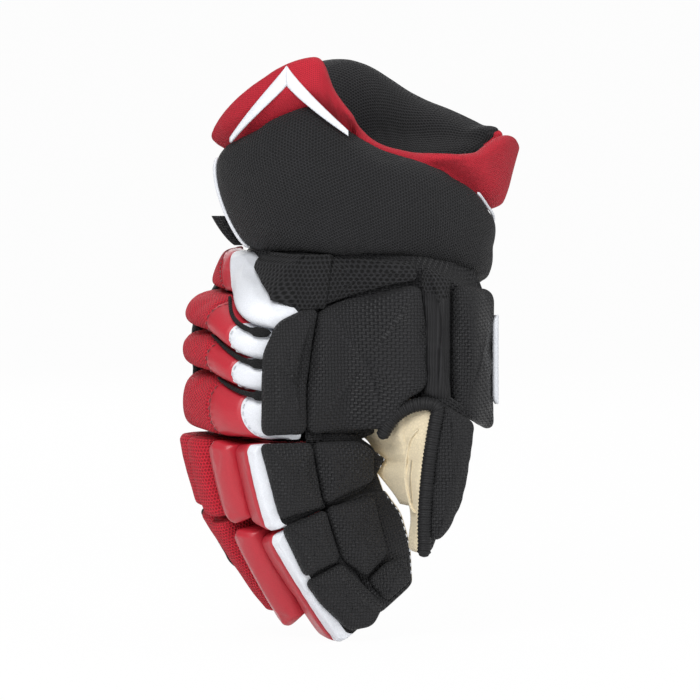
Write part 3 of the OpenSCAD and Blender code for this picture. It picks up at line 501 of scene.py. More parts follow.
def woven_finish(name, colour, pitch, amount=0.4, roughness=0.55):
    f = Finish(name, roughness, Sheen_Weight=0.03, Sheen_Roughness=0.5, Specular_IOR_Level=0.3)
    yarn = f.effect(woven_yarn(), Vector=f.cloth, Pitch=pitch / MM)
    dye = f.effect(uneven_dye(), Color=(*colour, 1), Vector=f.place, Amount=amount)
    gaps = tuple(c * 0.22 for c in colour)
    rough = f.n.ramp(dye["Rub"], 0.3, 0.7, roughness - 0.08, roughness + 0.1)
    return f.done(f.n.blend(yarn["Gap"], dye["Color"], gaps), yarn["Height"], 0.0007, 1.0, rough)


def coated_finish(name, colour, roughness=0.38, amount=0.12, grain=900.0):
    f = Finish(name, roughness, Coat_Weight=0.12, Coat_Roughness=0.3)
    hide = f.effect(hide_grain(), Vector=f.place, Scale=grain)
    dye = f.effect(uneven_dye(), Color=(*colour, 1), Vector=f.place, Amount=amount)
    low = tuple(c * 0.82 for c in colour)
    crease = f.n.math("MULTIPLY", hide["Crease"], 0.4)
    rough = f.n.ramp(dye["Rub"], 0.3, 0.7, roughness - 0.06, roughness + 0.1)
    return f.done(f.n.blend(crease, dye["Color"], low), hide["Height"], 0.00012, 0.6, rough)


def leather_finish(name, colour):
    f = Finish(name, 0.7, Sheen_Weight=0.2)
    hide = f.effect(hide_grain(), Vector=f.place, Scale=520.0)
    dye = f.effect(uneven_dye(), Color=(*colour, 1), Vector=f.place, Amount=0.3)
    low = tuple(c * 0.72 for c in colour)
    crease = f.n.math("MULTIPLY", hide["Crease"], 0.35)
    return f.done(f.n.blend(crease, dye["Color"], low), hide["Height"], 0.00025, 0.7)


def ribbed_finish(name, colour, pitch, along_axis=1):
    f = Finish(name, 0.6, Sheen_Weight=0.03, Specular_IOR_Level=0.3)
    parts = f.n.add("ShaderNodeSeparateXYZ", {0: f.cloth})
    wave = f.n.math("SINE", f.n.math("MULTIPLY", parts.outputs[along_axis], 2 * math.pi * MM / pitch))
    high = f.n.ramp(wave, -0.8, 0.8)
    dye = f.effect(uneven_dye(), Color=(*colour, 1), Vector=f.place, Amount=0.35)
    low = tuple(c * 0.45 for c in colour)
    return f.done(f.n.blend(high, low, dye["Color"]), high, 0.0004, 0.8)


def insert_finish(name, colour):
    f = Finish(name, 0.42)
    hide = f.effect(hide_grain(), Vector=f.place, Scale=1500.0)
    dye = f.effect(uneven_dye(), Color=(*colour, 1), Vector=f.place, Amount=0.25)
    return f.done(dye["Color"], hide["Height"], 0.00006, 0.5)


def thread_finish(name, colour):
    f = Finish(name, 0.6, Sheen_Weight=0.3)
    strands = f.n.add("ShaderNodeTexWave", {"Vector": f.place, "Scale": 700.0, "Distortion": 1.5})
    low = tuple(c * 0.6 for c in colour)
    return f.done(f.n.blend(strands.outputs["Fac"], low, tuple(colour)), strands.outputs["Fac"], 0.0001)


def finish(name):
    """Material of one of the glove's finishes, made the first time it is asked for."""
    if name in bpy.data.materials:
        return bpy.data.materials[name]
    c, s = colours(), sizes()
    red, knit, white = tuple(c.smooth_red), tuple(c.mesh_red), tuple(c.smooth_white)
    woven, mesh, leather = tuple(c.woven_black), tuple(c.mesh_black), tuple(c.leather)
    makers = {
        "Smooth red": lambda: coated_finish(name, red),
        "Smooth white": lambda: coated_finish(name, white, 0.34, 0.06),
        "Smooth dark red": lambda: coated_finish(name, tuple(v * 0.6 for v in red), 0.45),
        "Red knit": lambda: knit_finish(name, tuple(v * 1.3 for v in knit), 0.0021, 0.5, 0.0007, 0.3),
        "Red felt": lambda: knit_finish(name, knit, 0.0012, 0.7, 0.0003, 0.25),
        "Cuff mesh": lambda: knit_finish(name, mesh, s.fine_cell, 0.3, 0.0008),
        "Wrist mesh": lambda: knit_finish(name, mesh, s.coarse_cell, 0.15, 0.0012),
        "Woven black": lambda: woven_finish(name, woven, s.weave_pitch),
        "Lining black": lambda: woven_finish(name, tuple(v * 0.8 for v in woven), 0.0012, 0.3, 0.7),
        "Ribbed binding": lambda: ribbed_finish(name, woven, 0.0016),
        "Ribbed pad": lambda: ribbed_finish(name, woven, 0.0021, 0),
        "Welt black": lambda: woven_finish(name, tuple(v * 0.6 for v in woven), 0.0012, 0.3, 0.75),
        "Palm leather": lambda: leather_finish(name, leather),
        "Patch leather": lambda: leather_finish(name, tuple(v * 0.9 for v in leather)),
        "Hard insert": lambda: insert_finish(name, tuple(c.insert)),
        "White thread": lambda: thread_finish(name, white),
        "Red thread": lambda: thread_finish(name, tuple(v * 0.45 for v in red)),
        "Leather thread": lambda: thread_finish(name, tuple(v * 0.7 for v in leather)),
    }
    return makers[name]()


def refinish(node, label):
    """Gives a hard piece of the frame its own finish."""
    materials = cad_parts[node].data.materials
    materials.clear()
    materials.append(finish(label))


# Meshes
def new_piece(name, points, faces, cloth, finishes, finish_of=None):
    """Object from points in millimetres, with cloth coordinates and one or more finishes."""
    mesh = bpy.data.meshes.new(name)
    mesh.from_pydata([tuple(c * MM for c in p) for p in points], [], faces)
    layer = mesh.uv_layers.new(name="Cloth")
    layer.data.foreach_set("uv", np.array(cloth, float).reshape(-1))
    for label in finishes:
        mesh.materials.append(finish(label))
    if finish_of is not None:
        mesh.polygons.foreach_set("material_index", finish_of)
    shell = bmesh.new()
    shell.from_mesh(mesh)
    bmesh.ops.recalc_face_normals(shell, faces=shell.faces)
    shell.to_mesh(mesh)
    shell.free()
    mesh.polygons.foreach_set("use_smooth", [True] * len(mesh.polygons))
    piece = bpy.data.objects.new(name, mesh)
    bpy.context.scene.collection.objects.link(piece)
    return piece


def lofted(name, rows, finishes, wrap=True, loop=False, caps=True, finish_of=None):
    """Skin through rows of points. wrap joins each row's ends, loop the last row to the first."""
    grid = np.array(rows, float)
    m, n = grid.shape[:2]
    step = np.linalg.norm(np.roll(grid, -1, 1) - grid, axis=2)
    u = np.concatenate([np.zeros((m, 1)), np.cumsum(step, 1)], 1)
    u -= u[:, n // 2:n // 2 + 1]
    v = np.concatenate([[0], np.cumsum(np.linalg.norm(np.roll(grid, -1, 0) - grid, axis=2).mean(1))])
    points, faces, cloth, marks = [tuple(p) for p in grid.reshape(-1, 3)], [], [], []
    for i in range(m if loop else m - 1):
        for j in range(n if wrap else n - 1):
            k, h = (j + 1) % n, (i + 1) % m
            faces.append((i * n + j, i * n + k, h * n + k, h * n + j))
            cloth += [(u[i, j], v[i]), (u[i, j + 1], v[i]), (u[h, j + 1], v[i + 1]), (u[h, j], v[i + 1])]
            marks.append(finish_of(i, j) if finish_of else 0)
    if wrap and caps and not loop:
        for i in (0, m - 1):
            points.append(tuple(grid[i].mean(0)))
            for j in range(n):
                faces.append((i * n + j, i * n + (j + 1) % n, len(points) - 1))
                cloth += [(u[i, j], v[i]), (u[i, j + 1], v[i]), (u[i, n // 2], v[i] + 3)]
                marks.append(finish_of(min(i, m - 2), j) if finish_of else 0)
    return new_piece(name, points, faces, cloth, finishes, marks)


def rounded_outline(corners, radius, count=96):
    """Closed outline with round corners, as evenly spaced points, anticlockwise."""
    corners = [np.array(p, float) for p in corners]
    dense = []
    for i, p in enumerate(corners):
        a, b = corners[i - 1] - p, corners[(i + 1) % len(corners)] - p
        la, lb = np.linalg.norm(a), np.linalg.norm(b)
        r = min(radius, 0.48 * la, 0.48 * lb)
        start, end = p + a / la * r, p + b / lb * r
        for t in np.linspace(0, 1, 9):
            dense.append((1 - t) ** 2 * start + 2 * t * (1 - t) * p + t * t * end)
    dense = np.array(dense)
    following = np.roll(dense, -1, 0)
    if (dense[:, 0] * following[:, 1] - dense[:, 1] * following[:, 0]).sum() < 0:
        dense = dense[::-1]
    ring = np.vstack([dense, dense[:1]])
    far = np.concatenate([[0], np.cumsum(np.linalg.norm(np.diff(ring, axis=0), axis=1))])
    at = np.linspace(0, far[-1], count, endpoint=False)
    return np.stack([np.interp(at, far, ring[:, 0]), np.interp(at, far, ring[:, 1])], 1)


def inward(outline):
    way = np.roll(outline, -1, 0) - np.roll(outline, 1, 0)
    way /= np.linalg.norm(way, axis=1)[:, None]
    return np.stack([-way[:, 1], way[:, 0]], 1)


def evened(ring, times):
    """Ring of points with its corners worn round."""
    for _ in range(times):
        ring = (np.roll(ring, 1, 0) + 2 * ring + np.roll(ring, -1, 0)) / 4
    return ring


def cushion(name, outline, height, place, finishes, crown=1.6, edge=3.6, finish_of=None, waist=0.35,
            grow=0.0):
    """Crowned pad on an outline: place turns an outline point and a height into a point."""
    outline = outline - inward(outline) * grow
    normals, n = inward(outline), len(outline)
    centre = outline.mean(0)
    profile = [(2.4, 0.0, 1), (0.7, 0.02, 1), (0.1, 0.14, 1), (waist * 0.4, 0.34, 1), (waist, 0.52, 1),
               (waist + 0.15, 0.66, 1), (0.22 * edge, 0.82, 1), (0.5 * edge, 0.93, 1), (edge, 1.0, 1)]
    profile += [(edge, 1.0, t) for t in (0.88, 0.74, 0.6, 0.46, 0.32, 0.18, 0.07)]
    points, flat = [], []
    for inset, share, shrink in profile:
        rise = height * share + crown * (1 - shrink ** 2)
        ring = centre + (evened(outline + normals * inset, int(45 * (1 - shrink))) - centre) * shrink
        spread = centre + (outline + normals * (inset - height * (1 - share)) - centre) * shrink
        points += [place(p, rise) for p in ring]
        flat += [tuple(p) for p in spread]
    faces, cloth, marks = [], [], []
    for i in range(len(profile) - 1):
        for j in range(n):
            k = (j + 1) % n
            face = (i * n + j, i * n + k, (i + 1) * n + k, (i + 1) * n + j)
            faces.append(face)
            cloth += [flat[v] for v in face]
            marks.append(finish_of(flat[face[0]]) if finish_of else 0)
    for i, rise in ((0, 0.0), (len(profile) - 1, height + crown)):
        points.append(place(centre, rise))
        for j in range(n):
            faces.append((i * n + j, i * n + (j + 1) % n, len(points) - 1))
            cloth += [flat[i * n + j], flat[i * n + (j + 1) % n], tuple(centre)]
            marks.append(finish_of(tuple(centre)) if finish_of and i else 0)
    piece = new_piece(name, points, faces, cloth, finishes, marks)
    piece["held"] = list(range(3 * n)) + [len(points) - 2]
    return piece


def cord(name, path, diameter, finishes, sides=12, ribs=0.0, rib_pitch=2.2):
    """Round cord along points, with small ribs where asked for. Its ends close to a dome."""
    path = [np.array(p, float) for p in path]
    dense = [path[0]]
    for i in range(len(path) - 1):
        a, b = path[max(i - 1, 0)], path[min(i + 2, len(path) - 1)]
        p, q = path[i], path[i + 1]
        count = max(2, int(np.linalg.norm(q - p) / (rib_pitch / 4 if ribs else 1.5)))
        for k in range(1, count + 1):
            t = k / count
            m0, m1 = (q - a) / 2, (b - p) / 2
            dense.append((2 * t ** 3 - 3 * t * t + 1) * p + (t ** 3 - 2 * t * t + t) * m0
                         + (3 * t * t - 2 * t ** 3) * q + (t ** 3 - t * t) * m1)
    far = np.concatenate([[0], np.cumsum([np.linalg.norm(dense[i + 1] - dense[i])
                                          for i in range(len(dense) - 1)])])
    rows, side = [], None
    for i, p in enumerate(dense):
        way = dense[min(i + 1, len(dense) - 1)] - dense[max(i - 1, 0)]
        way = way / np.linalg.norm(way)
        if side is None:
            side = np.cross(way, (1, 0, 0) if abs(way[1]) > 0.8 else (0, 1, 0))
        side = side - way * side.dot(way)
        side = side / np.linalg.norm(side)
        up = np.cross(side, way)
        end = min(far[i], far[-1] - far[i]) / (diameter / 2)
        r = diameter / 2 * math.sqrt(max(0.02, 1 - max(0.0, 1 - end) ** 2))
        r += ribs * math.cos(2 * math.pi * far[i] / rib_pitch)
        rows.append([p + (side * cos(360 * j / sides) + up * sin(360 * j / sides)) * r
                     for j in range(sides)])
    return lofted(name, rows, finishes)


def threads(name, rows, label, body):
    """Stitches of thread along rows of (point, outward direction) pairs."""
    s = sizes()
    length, gap, thick = s.stitch / MM, s.stitch_gap / MM, s.thread / MM
    points, faces = [], []
    for row in rows:
        spots = np.array([p for p, _ in row], float)
        outs = np.array([o for _, o in row], float)
        far = np.concatenate([[0], np.cumsum(np.linalg.norm(np.diff(spots, axis=0), axis=1))])
        for k in range(int(far[-1] // (length + gap))):
            begin = k * (length + gap) + gap / 2
            at = np.linspace(begin, begin + length, 5)
            line = np.stack([np.interp(at, far, spots[:, c]) for c in range(3)], 1)
            out = np.array([np.interp(begin + length / 2, far, outs[:, c]) for c in range(3)])
            out /= np.linalg.norm(out) + 1e-9
            across = np.cross(line[-1] - line[0], out)
            across /= np.linalg.norm(across) + 1e-9
            base = len(points)
            for i, p in enumerate(line):
                t = i / 4
                r = thick / 2 * (0.25 + 0.75 * math.sin(math.pi * t) ** 0.5)
                sink = -0.25 * thick + 0.5 * thick * math.sin(math.pi * t)
                for j in range(6):
                    points.append(tuple(p + out * (sink + r * sin(60 * j)) + across * r * cos(60 * j)))
            for i in range(4):
                here = base + i * 6
                for j in range(6):
                    following = (j + 1) % 6
                    faces.append((here + j, here + following, here + 6 + following, here + 6 + j))
            faces.append(tuple(base + j for j in range(5, -1, -1)))
            faces.append(tuple(base + 24 + j for j in range(6)))
    cloth = [(0, 0)] * sum(len(f) for f in faces)
    piece = new_piece(name, points, faces, cloth, [label])
    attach(piece, body)
    return piece


def apply_modifiers(piece):
    """Makes what the modifiers give into the piece's own mesh."""
    bpy.context.view_layer.update()
    graph = bpy.context.evaluated_depsgraph_get()
    settled = bpy.data.meshes.new_from_object(piece.evaluated_get(graph))
    piece.modifiers.clear()
    piece.data = settled
    settled.name = piece.name
    return settled


def thicken(piece, thick, offset=-1):
    """Gives a single sheet its thickness in millimetres."""
    shell = piece.modifiers.new("Thickness", "SOLIDIFY")
    shell.thickness, shell.offset = thick * MM, offset


def points_at(n, rows, columns):
    """Numbers of the points at some rows and columns of a loft with n points a row."""
    return [i * n + j for i in rows for j in columns]


def from_node(name, node, label, voxel):
    """Soft copy of a flat lining piece of the frame, with its edges rounded over."""
    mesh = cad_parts[node].data.copy()
    mesh.name = name
    mesh.materials.clear()
    piece = bpy.data.objects.new(name, mesh)
    bpy.context.scene.collection.objects.link(piece)
    modifier = piece.modifiers.new("Even", "REMESH")
    modifier.mode, modifier.voxel_size = "VOXEL", voxel * MM
    soft = piece.modifiers.new("Soft", "SMOOTH")
    soft.factor, soft.iterations = 0.5, 4
    settled = apply_modifiers(piece)
    settled.materials.clear()
    settled.materials.append(finish(label))
    layer = settled.uv_layers.new(name="Cloth")
    for face in settled.polygons:
        axis = max(range(3), key=lambda k: abs(face.normal[k]))
        keep = [k for k in range(3) if k != axis]
        for loop in face.loop_indices:
            p = settled.vertices[settled.loops[loop].vertex_index].co
            layer.data[loop].uv = (p[keep[0]] / MM, p[keep[1]] / MM)
    settled.polygons.foreach_set("use_smooth", [True] * len(settled.polygons))
    return piece


# Padding
def settle(pieces, cap=3.0, frames=20):
    """Foam presses each cover outward with cloth simulation; held points stay sewn down."""
    scene = bpy.context.scene
    for piece in pieces:
        sewn = piece.vertex_groups.new(name="sewn")
        sewn.add([int(v) for v in piece["held"]], 1.0, "REPLACE")
        cloth = piece.modifiers.new("Foam", "CLOTH")
        s = cloth.settings
        s.quality, s.mass, s.time_scale = 5, 0.25, 1.0
        s.tension_stiffness = s.compression_stiffness = 14
        s.shear_stiffness, s.bending_stiffness = 6, 0.6
        s.use_pressure, s.uniform_pressure_force = True, sizes().pressure
        s.vertex_group_mass = "sewn"
        s.shrink_min = -0.012
        s.effector_weights.gravity = 0
        cloth.point_cache.frame_start, cloth.point_cache.frame_end = 1, frames
    for step in range(1, frames + 1):
        scene.frame_set(step)
    graph = bpy.context.evaluated_depsgraph_get()
    for piece in pieces:
        count = len(piece.data.vertices)
        before, after = np.empty(count * 3), np.empty(count * 3)
        piece.data.vertices.foreach_get("co", before)
        piece.evaluated_get(graph).data.vertices.foreach_get("co", after)
        move = (after - before).reshape(-1, 3)
        size = np.linalg.norm(move, axis=1)
        limit = piece.get("cap", cap) * MM
        soft = limit * np.tanh(size / limit) / np.maximum(size, 1e-9)
        piece.data.vertices.foreach_set("co", (before.reshape(-1, 3) + move * soft[:, None]).reshape(-1))
    for piece in pieces:
        piece.modifiers.clear()
        piece.vertex_groups.clear()
    scene.frame_set(1)


def uneven(piece, amount=0.35, scale=17.0):
    """Small hand-sewn unevenness of a soft surface."""
    mesh = piece.data
    normals = [v.normal.copy() for v in mesh.vertices]
    for v, normal in zip(mesh.vertices, normals):
        p = v.co / (scale * MM)
        v.co += normal * amount * MM * (noise.noise(p) + 0.5 * noise.noise(p * 2.3 + Vector((7, 3, 1))))
    mesh.update()


def stuffed(piece, body, nodes=(), slot=None, cap=None, rough=0.35):
    """Readies a padded piece to be pressed out by its foam: keeps its cap and roughness, hangs it on its
    body and hides the frame pieces it replaces.
    """
    if cap is not None:
        piece["cap"] = cap
    piece["rough"] = rough
    if body:
        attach(piece, body)
    if nodes:
        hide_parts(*nodes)
    return piece


def press(pieces):
    settle([p for p in pieces if "held" in p])
    for piece in pieces:
        uneven(piece, piece["rough"])
        soft = piece.modifiers.new("Soft", "SUBSURF")
        soft.levels = soft.render_levels = 1
        for key in ("held", "cap", "rough"):
            if key in piece:
                del piece[key]


def bend(piece, first, second, start, end):
    """Makes the modifiers of a finished piece part of its mesh, and bakes its place into its points."""
    apply_modifiers(piece)
    tuple(c * MM for c in start)
    tuple(c * MM for c in end)
    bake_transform(piece)


def sewn_on(piece, body, nodes=(), slot=None):
    """Hangs a trim piece that is not padded on its body, and hides the frame pieces it replaces."""
    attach(piece, body)
    if nodes:
        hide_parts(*nodes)
    return piece


# Pieces
GROOVE = 0.8  # half of the sewn groove between two rolls


def mesh_line(y):
    """Line along which roll 1 meets the wrist mesh."""
    return float(np.interp(y, (-51, -44, -30, -12, 4.5), (-106, -98.8, -90.8, -82.8, -75.8)))


class GLOVE_OT_back_rolls(bpy.types.Operator):
    """Four padded rolls of mesh, red and white panels, and the welts between them"""

    bl_idname = "glove.back_rolls"
    bl_label = "Back rolls"
    # White seam and mesh seam of each roll, at its top and at its bottom
    seams = {1: (22, -13, 36, 3), 2: (-33, -34, -12, -11), 3: (-35, -35, -13, -12), 4: (-38, -44, -15, -16)}
    panels = (("Smooth white", 14), ("Smooth red", 12), ("Red knit", 30))
    turns = (0, 3, 7, 12, 18, 26, 36, 48, 62, 76, 90, 104, 118, 132, 144, 154, 162, 168, 173, 177, 180)

    def across(self, roll, panel, share, a):
        top_white, low_white, top_mesh, low_mesh = self.seams[roll]
        t = (1 - cos(a)) / 2
        lines = (-ROLL_HALF_W, mix(top_white, low_white, t) + 2.5 * sin(a),
                 mix(top_mesh, low_mesh, t) + 1.5 * sin(a), ROLL_HALF_W)
        return mix(lines[panel], lines[panel + 1], share)

    def surface(self, roll, y, a, lift=0.0):
        z0 = roll_edge(roll, y) + GROOVE
        z1 = max(z0 + 1.5, mesh_line(y)) if roll == 1 else roll_edge(roll - 1, y) - GROOVE
        zc, hz = (z0 + z1) / 2, (z1 - z0) / 2
        end = math.sqrt(max(0.0, 1 - 0.75 * (abs(y) / ROLL_HALF_W) ** 8))
        thick = (foam(zc) - PLATE_T - 2 * FIT + lift) * end
        z = zc + hz * cos(a)
        return np.array((roll_bed(y, z) - thick * max(0.0, sin(a)) ** 0.4, y, z))

    def roll(self, roll):
        rows, kinds, sewn = [], [], []
        for panel, (_, count) in enumerate(self.panels):
            shares = [0.0, 0.05] + [k / count for k in range(1, count)] + [0.95]
            if panel == 2:
                shares.append(1.0)
            for share in shares:
                seam = (share == 0.0 and panel > 0) or (share == 1.0)
                ring = [self.surface(roll, self.across(roll, panel, share, a), a, -1.4 if seam else -0.4)
                        for a in self.turns]
                back = [ring[-1] + (ring[0] - ring[-1]) * t for t in (0.2, 0.4, 0.6, 0.8)]
                for p in back:
                    p[0] = roll_bed(p[1], p[2])
                if seam or (panel == 0 and share == 0.0):
                    sewn.append(len(rows))
                rows.append(ring + back)
                kinds.append(panel)
        piece = lofted(f"back_roll_{roll}_cover", rows, [label for label, _ in self.panels],
                       finish_of=lambda i, j: kinds[i])
        n, last = len(rows[0]), len(self.turns)
        held = points_at(n, range(len(rows)), (0, 1, *range(last - 2, n)))
        piece["held"] = held + points_at(n, sewn, range(n))
        return stuffed(piece, "hand" if roll > 1 else None, [f"back_roll_{roll}"], "red_pu", 1.8)

    def seam_rows(self, roll, panel, shift):
        spots = []
        for k in range(16, 165, 4):
            y = self.across(roll, panel, 0.0, k) + shift
            p, q = self.surface(roll, y, k, 0.45), self.surface(roll, y, k, 1.45)
            spots.append((p, q - p))
        return spots

    def welt(self, e, start):
        rows = []
        for k in range(33):
            t = k / 32
            y = mix(-51, start, t)
            z = roll_edge(e, y)
            block = smooth((0.17 - t) / 0.04)
            half, thick = mix(1.9, 0.7, t) + 1.2 * block, 1.2 + 0.8 * block
            end = math.sqrt(max(0.03, 1 - (2 * t - 1) ** 16))
            x = back_x(y, z) + mix(2.6, 7.5, t ** 1.3) + 1.6 * smooth((-y - 46) / 5)
            rows.append([(x - thick * end * sin(a) * abs(sin(a)) ** -0.4 if sin(a) else x, y,
                          z + half * end * cos(a)) for a in range(0, 360, 30)])
        return lofted(f"channel_welt_{e}", rows, ["Welt black"])

    def execute(self, context):
        rolls = [self.roll(k) for k in (1, 2, 3, 4)]
        press(rolls)
        bend(rolls[0], "hand", "cuff", (-60, 0, -93), (-60, 0, -77))
        red = [self.seam_rows(k, 2, -2.0) for k in (1, 2, 3, 4)]
        threads("back_roll_red_stitches", red, "Red thread", "hand")
        white = [self.seam_rows(k, 1, -2.2) for k in (2, 3, 4)]
        threads("back_roll_white_stitches", white, "White thread", "hand")
        for e, start in ((1, -6), (2, -4), (3, -12)):
            sewn_on(self.welt(e, start), "hand", ["roll_welts"] if e == 1 else (), "woven_black")
        return {"FINISHED"}


class GLOVE_OT_wrist_panels(bpy.types.Operator):
    """Coarse mesh panels and the soft bellows between the cuff roll and the hand's pads"""

    bl_idname = "glove.wrist_panels"
    bl_label = "Wrist panels"

    def back_panel(self):
        top = WRIST_Z + 1.5
        corner = [(-65, -49.6, -106), (-63.5, -51.6, -107.5), (-61.5, -53.6, -108.5), (-58, -55.4, -106),
                  (-53, -56, -104.5), (-48.5, -56, -105), (-46.6, -54.6, -104)]
        rows = []
        for i in range(21):
            row = []
            for k in range(24):
                y = mix(4.5, -47.5, k / 23)
                low = mesh_line(y) + 0.3
                z = mix(low, top, i / 20)
                rise = min(1.0, (z - low) / 3.5)
                puff = (1 - (1 - rise) ** 2.4) * min(1.0, (top - low) / 12)
                tuck = 9 * smooth((z - top + 6) / 6)
                row.append((roll_bed(y, z) - (foam(z) - 3) * 0.97 * puff + tuck, y, z))
            for x, y, low in corner:
                z = mix(low, top, i / 20)
                puff = 3.2 * (1 - abs(2 * i / 20 - 1) ** 4)
                lean = smooth((z + 100) / 26)
                tuck = 7 * smooth((z - top + 6) / 6)
                row.append((x + 2.5 * lean + tuck * 0.6, y - puff + 2.0 + tuck * 0.6, z))
            rows.append(row)
        piece = lofted("wrist_mesh_back", rows, ["Wrist mesh"], wrap=False)
        width = np.linalg.norm(np.diff(np.array(rows[12]), axis=0), axis=1)
        far, n = np.concatenate([[0], np.cumsum(width)]), len(rows[0])
        layer = piece.data.uv_layers["Cloth"]
        for loop in piece.data.loops:
            i, k = divmod(loop.vertex_index, n)
            layer.data[loop.index].uv = (far[k], rows[i][k][2])
        thicken(piece, 2.5)
        uneven(piece, 0.4)
        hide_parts("wrist_back_panel")
        return piece

    def side_panel(self):
        top = WRIST_Z + 0.5
        outline = rounded_outline([(-46.4, top), (-1, top - 2.5), (-1, HAND_TOP - 8),
                                   (-49.6, HAND_TOP - 24)], 2.5)
        piece = cushion("wrist_mesh_side", outline, SIDE_FOAM_T * 0.6,
                        lambda p, h: (p[0], side_y(p[0]) - h + 5.0 * smooth((p[1] + 84) / 10), p[1]),
                        ["Wrist mesh"], 1.4, 3.0)
        return stuffed(piece, None, ["wrist_side_panel"], "mesh_black", 1.5)

    def bellows(self):
        """Soft tube from the rim of the hand up into the cuff roll."""
        plan = [(back_x(y, -84) + 12, y, HAND_TOP - 6) for y in np.linspace(46, -44, 14)]
        plan += [(x, side_y(x) + 1.2, hand_rim(x) - 7) for x in np.linspace(-52, 52, 22)]
        plan += [(mix(HEEL_REACH - 6, 40, t), mix(-60, 44, t), -104) for t in np.linspace(0, 1, 14)]
        plan += [(x, 47, HAND_TOP - 8) for x in np.linspace(30, -44, 10)]
        rows = []
        for i in range(9):
            t = i / 8
            row = []
            for x, y, z in plan:
                angle = math.degrees(math.atan2((y - CUFF_SHIFT_Y) / WRIST_WIDE, -(x - 2) / WRIST_DEEP))
                target = np.array(cuff_point(angle, WRIST_Z + 8, CUFF_ROLL_T + 1.0))
                row.append(mix(np.array((x, y, z)), target, t))
            rows.append(row)
        piece = lofted("wrist_bellows", rows, ["Woven black"], caps=False)
        thicken(piece, 1.6)
        uneven(piece, 0.3)
        return piece

    def execute(self, context):
        back, side, tube = self.back_panel(), self.side_panel(), self.bellows()
        press([side])
        bend(back, "hand", "cuff", (-60, 0, -95), (-60, 0, -77))
        bend(side, "hand", "cuff", (0, 0, -92), (0, 0, -76))
        bend(tube, "hand", "cuff", (0, 0, -97), (0, 0, -76))
        return {"FINISHED"}


class GLOVE_OT_side_pads(bpy.types.Operator):
    """Woven pads on the thumb side and the little finger side of the hand"""

    bl_idname = "glove.side_pads"
    bl_label = "Side pads"

    @staticmethod
    def column_finish(spot):
        """Mesh on the upper end of the thumb column, ribbed cloth below it."""
        return int(spot[1] > hand_rim(10) - 14 - 0.3 * spot[0])

    def execute(self, context):
        back, low = -BACK_REACH + 18, HAND_FLOOR + 6
        palm_low = KNUCKLE_Z + 0.2 + 18 * tan(22)
        front = HEEL_REACH - 4
        outlines = {
            "narrow_side_pad": ([(back + 10, HAND_TOP - 33), (-60, HAND_TOP - 26), (-53, HAND_TOP - 26),
                                 (-59.6, KNUCKLE_Z + 35), (-60.4, low), (back, low),
                                 (back + 1, KNUCKLE_Z + 55)], 5, 0.9),
            "web_pad": ([(-51, HAND_TOP - 27), (0, HAND_TOP - 11), (4, HAND_TOP - 36), (4, KNUCKLE_Z + 35),
                         (-8, KNUCKLE_Z + 27), (-15, palm_low + 3), (-58.6, low),
                         (-57.4, KNUCKLE_Z + 35)], 6, 0.9),
            "thumb_column_pad": ([(3, hand_rim(3) - 1), (19, hand_rim(19) - 2),
                                  (20, thumb_fold_z(20) - 0.3), (5, thumb_fold_z(5) - 0.3)], 5, 0.9),
            "thumb_base_pad": ([(23, hand_rim(23) - 3), (front, hand_rim(front) + 2),
                                (front, thumb_fold_z(front) - 2), (23, thumb_fold_z(23) - 2.5)], 7, 0.6),
        }
        made = []
        for name, (corners, radius, grow) in outlines.items():
            outline = rounded_outline(corners, radius, 120)
            finishes, finish_of = ["Woven black"], None
            if name == "thumb_column_pad":
                finishes, finish_of = ["Ribbed pad", "Wrist mesh"], self.column_finish
            piece = cushion(name + "_cover", outline, SIDE_FOAM_T - 1.6,
                            lambda p, h: (p[0], side_y(p[0]) - h, p[1]), finishes, 2.6, 6.0, finish_of,
                            grow=grow)
            made.append(stuffed(piece, "hand", [name], "woven_black", 2.4))
        outline = rounded_outline([(back + 3, HAND_TOP - 40), (-WRIST_REACH + 14, HAND_TOP - 8),
                                   (-40, HAND_TOP - 4), (-22, HAND_TOP - 30), (-24, palm_low + 4),
                                   (-40, HAND_FLOOR + 3),
                                   (back + 3, HAND_FLOOR + 3)], 8, 120)
        piece = cushion("little_side_pad_cover", outline, SIDE_FOAM_T - 1.6,
                        lambda p, h: (p[0], HAND_HALF_W + FIT + h, p[1]), ["Woven black"], 2.6, 6.0)
        made.append(stuffed(piece, "hand", ["little_side_pad"], "woven_black", 2.4))
        press(made)
        # Stripe round the front edge of the thumb base
        rows = []
        base, stripe_len = thumb_fold_z(front) + 14, 52
        wrap = ((-4.2, -7.4), (-2.2, -6.3), (-0.8, -4.2), (-0.3, -1.5), (-0.3, 3.4))
        for k in range(29):
            t = k / 28
            z = base + stripe_len * t
            end = math.sqrt(max(0.04, 1 - abs(2 * t - 1) ** 10))
            line = [(HEEL_REACH + dx, side_y(HEEL_REACH - 2) + dy) for dx, dy in wrap]
            middle = line[2]
            line = [mix(np.array(middle), np.array(q), end) for q in line]
            rows.append([(x, y, z) for x, y in line] + [(x - 1.6, y + 1.0, z) for x, y in line[::-1]])
        stripe = lofted("thumb_edge_stripe", rows, ["Smooth white"])
        sewn_on(stripe, "hand", ["thumb_stripe"], "white_pu")
        return {"FINISHED"}


